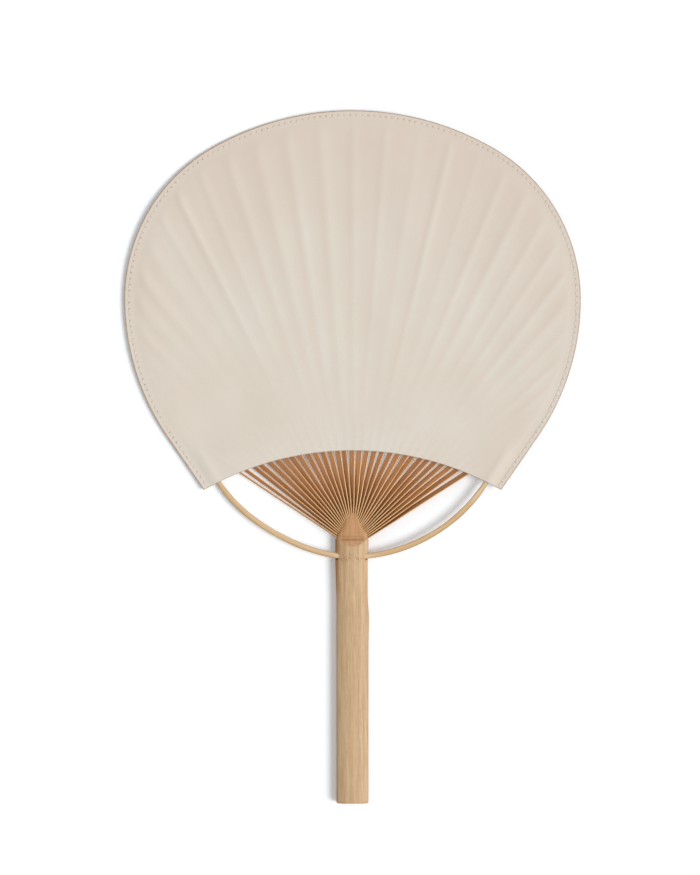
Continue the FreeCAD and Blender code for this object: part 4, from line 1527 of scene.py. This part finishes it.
def leather(name, pale, tan, pore_size, drift_size, bump, hole_and_edge_shade_colour=None, tan_mark=None):
    """Leather finish. A skin side also reads its tan, painted flank light and painted hole and edge shade."""
    material, tree, shader = start_material(name)
    hide = add_node(tree, "ShaderNodeGroup", {
        "Place": add_node(tree, "ShaderNodeTexCoord").outputs["Object"], "Pore Size": pore_size,
        "Drift Size": drift_size, "Pale": pale, "Tan": tan}, node_tree=hide_group).outputs
    colour = hide["Colour"]
    if hole_and_edge_shade_colour:
        colour = mix_colours(tree, read_mark(tree, "hide_tan"), colour, tan_mark)
        colour = mix_colours(tree, read_mark(tree, "hole_and_edge_shade_share"), colour, hole_and_edge_shade_colour)
    dress_shader(
        tree, shader, colour, hide["Roughness"], leather_gloss, hide["Height"], leather_bump_share, bump)
    return material


pale_leather = leather(
    "pale leather", pale=paint(223.2, 216.8, 205.3), tan=paint(218.5, 207.4, 192.4), pore_size=0.45 * mm,
    drift_size=55 * mm, bump=0.09 * mm, hole_and_edge_shade_colour=paint(128, 108, 94), tan_mark=paint(215, 198, 183))
cut_edge = leather(
    "leather cut edge", pale=paint(198, 172, 150), tan=paint(172, 139, 114), pore_size=0.2 * mm,
    drift_size=3 * mm, bump=0.05 * mm)
print("leather finishes:", pale_leather.name, "and", cut_edge.name)

# %% Front and back sheet
weld_distance = 0.002 * mm
for name, side in (("front_leather", 1), ("back_leather", -1)):
    points, faces, kinds = sheet_mesh(side)
    sheet = keep_piece(
        f"{name}_sheet", points, faces, [pale_leather, cut_edge], [name], kinds, sharp_degrees=60)
    mark_points(sheet, "hole_and_edge_shade_share", sheet_mark(hole_and_edge_shade))
    mark_points(sheet, "hide_tan", sheet_mark(hide_tan))
    form = bmesh.new()
    form.from_mesh(sheet.data)
    bmesh.ops.remove_doubles(form, verts=form.verts, dist=weld_distance)
    bmesh.ops.recalc_face_normals(form, faces=form.faces)
    form.to_mesh(sheet.data)
    form.free()
    print(name, len(sheet.data.polygons), "faces")

# %% [markdown]
# ## The stitches
#
# A row of short stitches holds the two sheets together, a little inside the rim. Each stitch rises out of
# one needle hole and dives into the next. A bump on the leather would look flat from the side, so each
# stitch is two twisted plies of thread, swept along a low hump.

# %% Stitches on one face
ply_radius = 0.15 * mm
ply_offset = 0.12 * mm
ply_twists = 1.6
ply_sides = 6
stitch_stations = 11
stitch_end_shares = (0.12, 0.88)
stitch_crest = 0.06 * mm
stitch_dive = 0.42 * mm
stitch_dive_power = 5


def stitch_row(side):
    """Points, faces and thread places of all the stitches on one face."""
    share = np.linspace(*stitch_end_shares, stitch_stations)
    ply_turn = np.linspace(0, full_turn, ply_sides, endpoint=False)
    section = np.tile(ply_radius * round_section(ply_turn), (stitch_stations, 1, 1))
    bed = leather_thickness - groove_depth
    hump = bed + stitch_crest - stitch_dive * np.abs(2 * share - 1) ** stitch_dive_power
    above = np.tile([0, 0, float(side)], (stitch_stations, 1))
    around = np.tile(ply_turn, stitch_stations)
    along = np.repeat(share, ply_sides) * stitch_step
    all_points, all_faces, all_places = [], [], []
    count = 0
    for stitch in range(stitch_count):
        flat, normal = seam_frame((stitch + share) * stitch_step)
        middle = lifted(flat, blade_plane_height + side * hump)
        outward = lifted(normal, 0)
        for ply in (0, math.pi):
            twist = ply + full_turn * ply_twists * share
            line = middle + ply_offset * (outward * np.cos(twist)[:, None] + above * np.sin(twist)[:, None])
            points, faces = sweep(line, outward, above, section)
            all_points.append(points)
            all_faces += [tuple(i + count for i in face) for face in faces]
            all_places.append(np.column_stack([around, along, np.full(len(points), stitch)]))
            count += len(points)
    return np.concatenate(all_points), all_faces, np.concatenate(all_places)


print("stitch:", round(stitch_step / mm, 2), "mm long")

# %% [markdown]
# ## Thread finish
#
# The sewing thread is waxed linen close to the leather's own colour, and the thread inside the blade is plain
# cotton. Both are twisted, so fine slanting fibres run round them. One group with slanted noise serves both.

# %% Node group: twisted fibres
twist_noise_scale = 900.0
twist_wave_share = 0.35
twist_span = (0.1, 0.9)
thread_roughness = 0.7
thread_gloss = 0.25
thread_bump_share = 0.4
thread_bump = 0.04 * mm

twist_group, twist_in, twist_out = start_group(
    "twisted fibres",
    {"Place": VECTOR, "Fibre Pitch": VALUE, "Pale": COLOUR, "Dark": COLOUR},
    {"Colour": COLOUR, "Height": VALUE},
)
twist_parts = add_node(twist_group, "ShaderNodeSeparateXYZ", {0: twist_in["Place"]}).outputs
twist_along = calculate(twist_group, "DIVIDE", twist_parts["Y"], twist_in["Fibre Pitch"])
twist_wave = calculate(twist_group, "SINE", calculate(twist_group, "ADD", twist_along, twist_parts["X"]))
twist_noise = add_noise(twist_group, twist_in["Place"], scale=twist_noise_scale, detail=2)
twist_height = calculate(twist_group, "MULTIPLY_ADD", twist_wave, twist_wave_share, twist_noise)
twist_share = remap(twist_group, twist_height, from_span=twist_span)
set_sockets(twist_group, twist_out, {
    "Colour": mix_colours(twist_group, twist_share, twist_in["Dark"], twist_in["Pale"]),
    "Height": twist_height})


def thread(name, pale, dark, fibre_pitch):
    """Finish of a twisted thread."""
    material, tree, shader = start_material(name)
    fibres = add_node(tree, "ShaderNodeGroup", {
        "Place": read_mark(tree, "thread_place", "Vector"), "Fibre Pitch": fibre_pitch,
        "Pale": pale, "Dark": dark}, node_tree=twist_group).outputs
    dress_shader(tree, shader, fibres["Colour"], thread_roughness, thread_gloss, fibres["Height"],
                 thread_bump_share, thread_bump)
    return material


print("twist group:", len(twist_group.nodes), "nodes")

# %% Stitches on both faces
sewing_thread = thread(
    "sewing thread", pale=paint(236, 229, 219), dark=paint(222, 213, 201), fibre_pitch=0.12 * mm)
for name, side in (("front_stitches", 1), ("back_stitches", -1)):
    points, faces, places = stitch_row(side)
    row = keep_piece(
        f"{name}_row", points, faces, [sewing_thread], [name], sharp_degrees=70)
    mark_points(row, "thread_place", places)
    print(name, stitch_count, "stitches,", len(faces), "faces")

# %% [markdown]
# ## The woven thread
#
# Just inside the lower edge a thread is woven over and under the ribs, and each end is wound round the bow.
# It is almost wholly hidden, yet it is what keeps the fan open. Its turning points are known, so one smooth
# curve runs through their middle, and a round section is swept along it for the thread's thickness.

# %% Turning points of the lacing
lacing_turns = 4
lacing_turn_pitch = 0.9 * mm
lacing_clearance = 0.1 * mm
lacing_rib_gap = 0.04 * mm
lacing_first_turn = -3 * math.pi / 4
turn_points = 8
lacing_radius = lacing_diameter / 2
lacing_lift = rib_thickness / 2 + lacing_rib_gap + lacing_radius
lacing_wrap = np.array([bow_width, bow_thickness]) / 2 + lacing_radius + lacing_clearance
half_lacing = []
for index in range(half_count + 1):
    _, entry, way, _ = rib_line(index)
    crossing = entry + way * run_to_circle(entry, way, lacing_circle)
    outward = unit(crossing - mouth_centre)
    side_way = np.array([outward[1], -outward[0]])
    square = abs(side_way @ np.array([way[1], -way[0]]))
    half_run = rib_depth / 2 / square + lacing_radius
    height = blade_plane_height + lacing_lift * (-1) ** index
    if index > 0:
        half_lacing.append((*(crossing - side_way * half_run), height))
    half_lacing.append((*(crossing + side_way * half_run), height))
for step in range(lacing_turns * turn_points):
    run = lacing_on_tuck - lacing_turn_pitch * step / turn_points
    turn = lacing_first_turn + full_turn * step / turn_points
    place = bow_entry + tuck_way * run + tuck_across * lacing_wrap[0] * math.cos(turn)
    half_lacing.append((*place, blade_plane_height + lacing_wrap[1] * math.sin(turn)))
half_lacing = np.array(half_lacing)
lacing_points = np.concatenate([half_lacing[::-1] * (-1, 1, 1), half_lacing])
print("lacing:", len(lacing_points), "turning points")

# %% Lacing thread
lacing_sides = 8
lacing_order = 3
lacing_smoothness = 4
least_step = 1e-9
lacing_curve = bpy.data.curves.new("lacing", "CURVE")
lacing_curve.dimensions = "3D"
lacing_spline = lacing_curve.splines.new("NURBS")
lacing_spline.points.add(len(lacing_points) - 1)
lacing_spline.points.foreach_set("co", lifted(lacing_points, 1).ravel())
lacing_spline.order_u = lacing_order
lacing_spline.use_endpoint_u = True
lacing_spline.resolution_u = lacing_smoothness
guide = bpy.data.objects.new("lacing", lacing_curve)
lacing_line = np.array([v.co for v in bpy.data.meshes.new_from_object(guide).vertices])
bpy.data.objects.remove(guide)
lacing_run = run_along(lacing_line)
lacing_way = unit(np.gradient(lacing_line, lacing_run + np.arange(len(lacing_line)) * least_step, axis=0))
lacing_wide = [unit(np.cross(lacing_way[0], [0, 0, 1.0]))]
for here in lacing_way[1:]:
    lacing_wide.append(unit(lacing_wide[-1] - here * (lacing_wide[-1] @ here)))
lacing_wide = np.array(lacing_wide)
lacing_thin = np.cross(lacing_wide, lacing_way)
lacing_angles = np.linspace(0, full_turn, lacing_sides, endpoint=False)
lacing_section = np.tile(lacing_radius * round_section(lacing_angles), (len(lacing_line), 1, 1))
points, faces = sweep(lacing_line, lacing_wide, lacing_thin, lacing_section)
cotton = thread("lacing cotton", pale=paint(232, 224, 208), dark=paint(198, 186, 166), fibre_pitch=0.2 * mm)
lacing = keep_piece("lacing", points, faces, [cotton], ["lacing_thread"], sharp_degrees=70)
mark_points(lacing, "thread_place", np.column_stack([
    np.tile(lacing_angles, len(lacing_line)), np.repeat(lacing_run, lacing_sides), np.zeros(len(points))]))
print("lacing:", round(lacing_run[-1], 3), "m of thread,", len(faces), "faces")
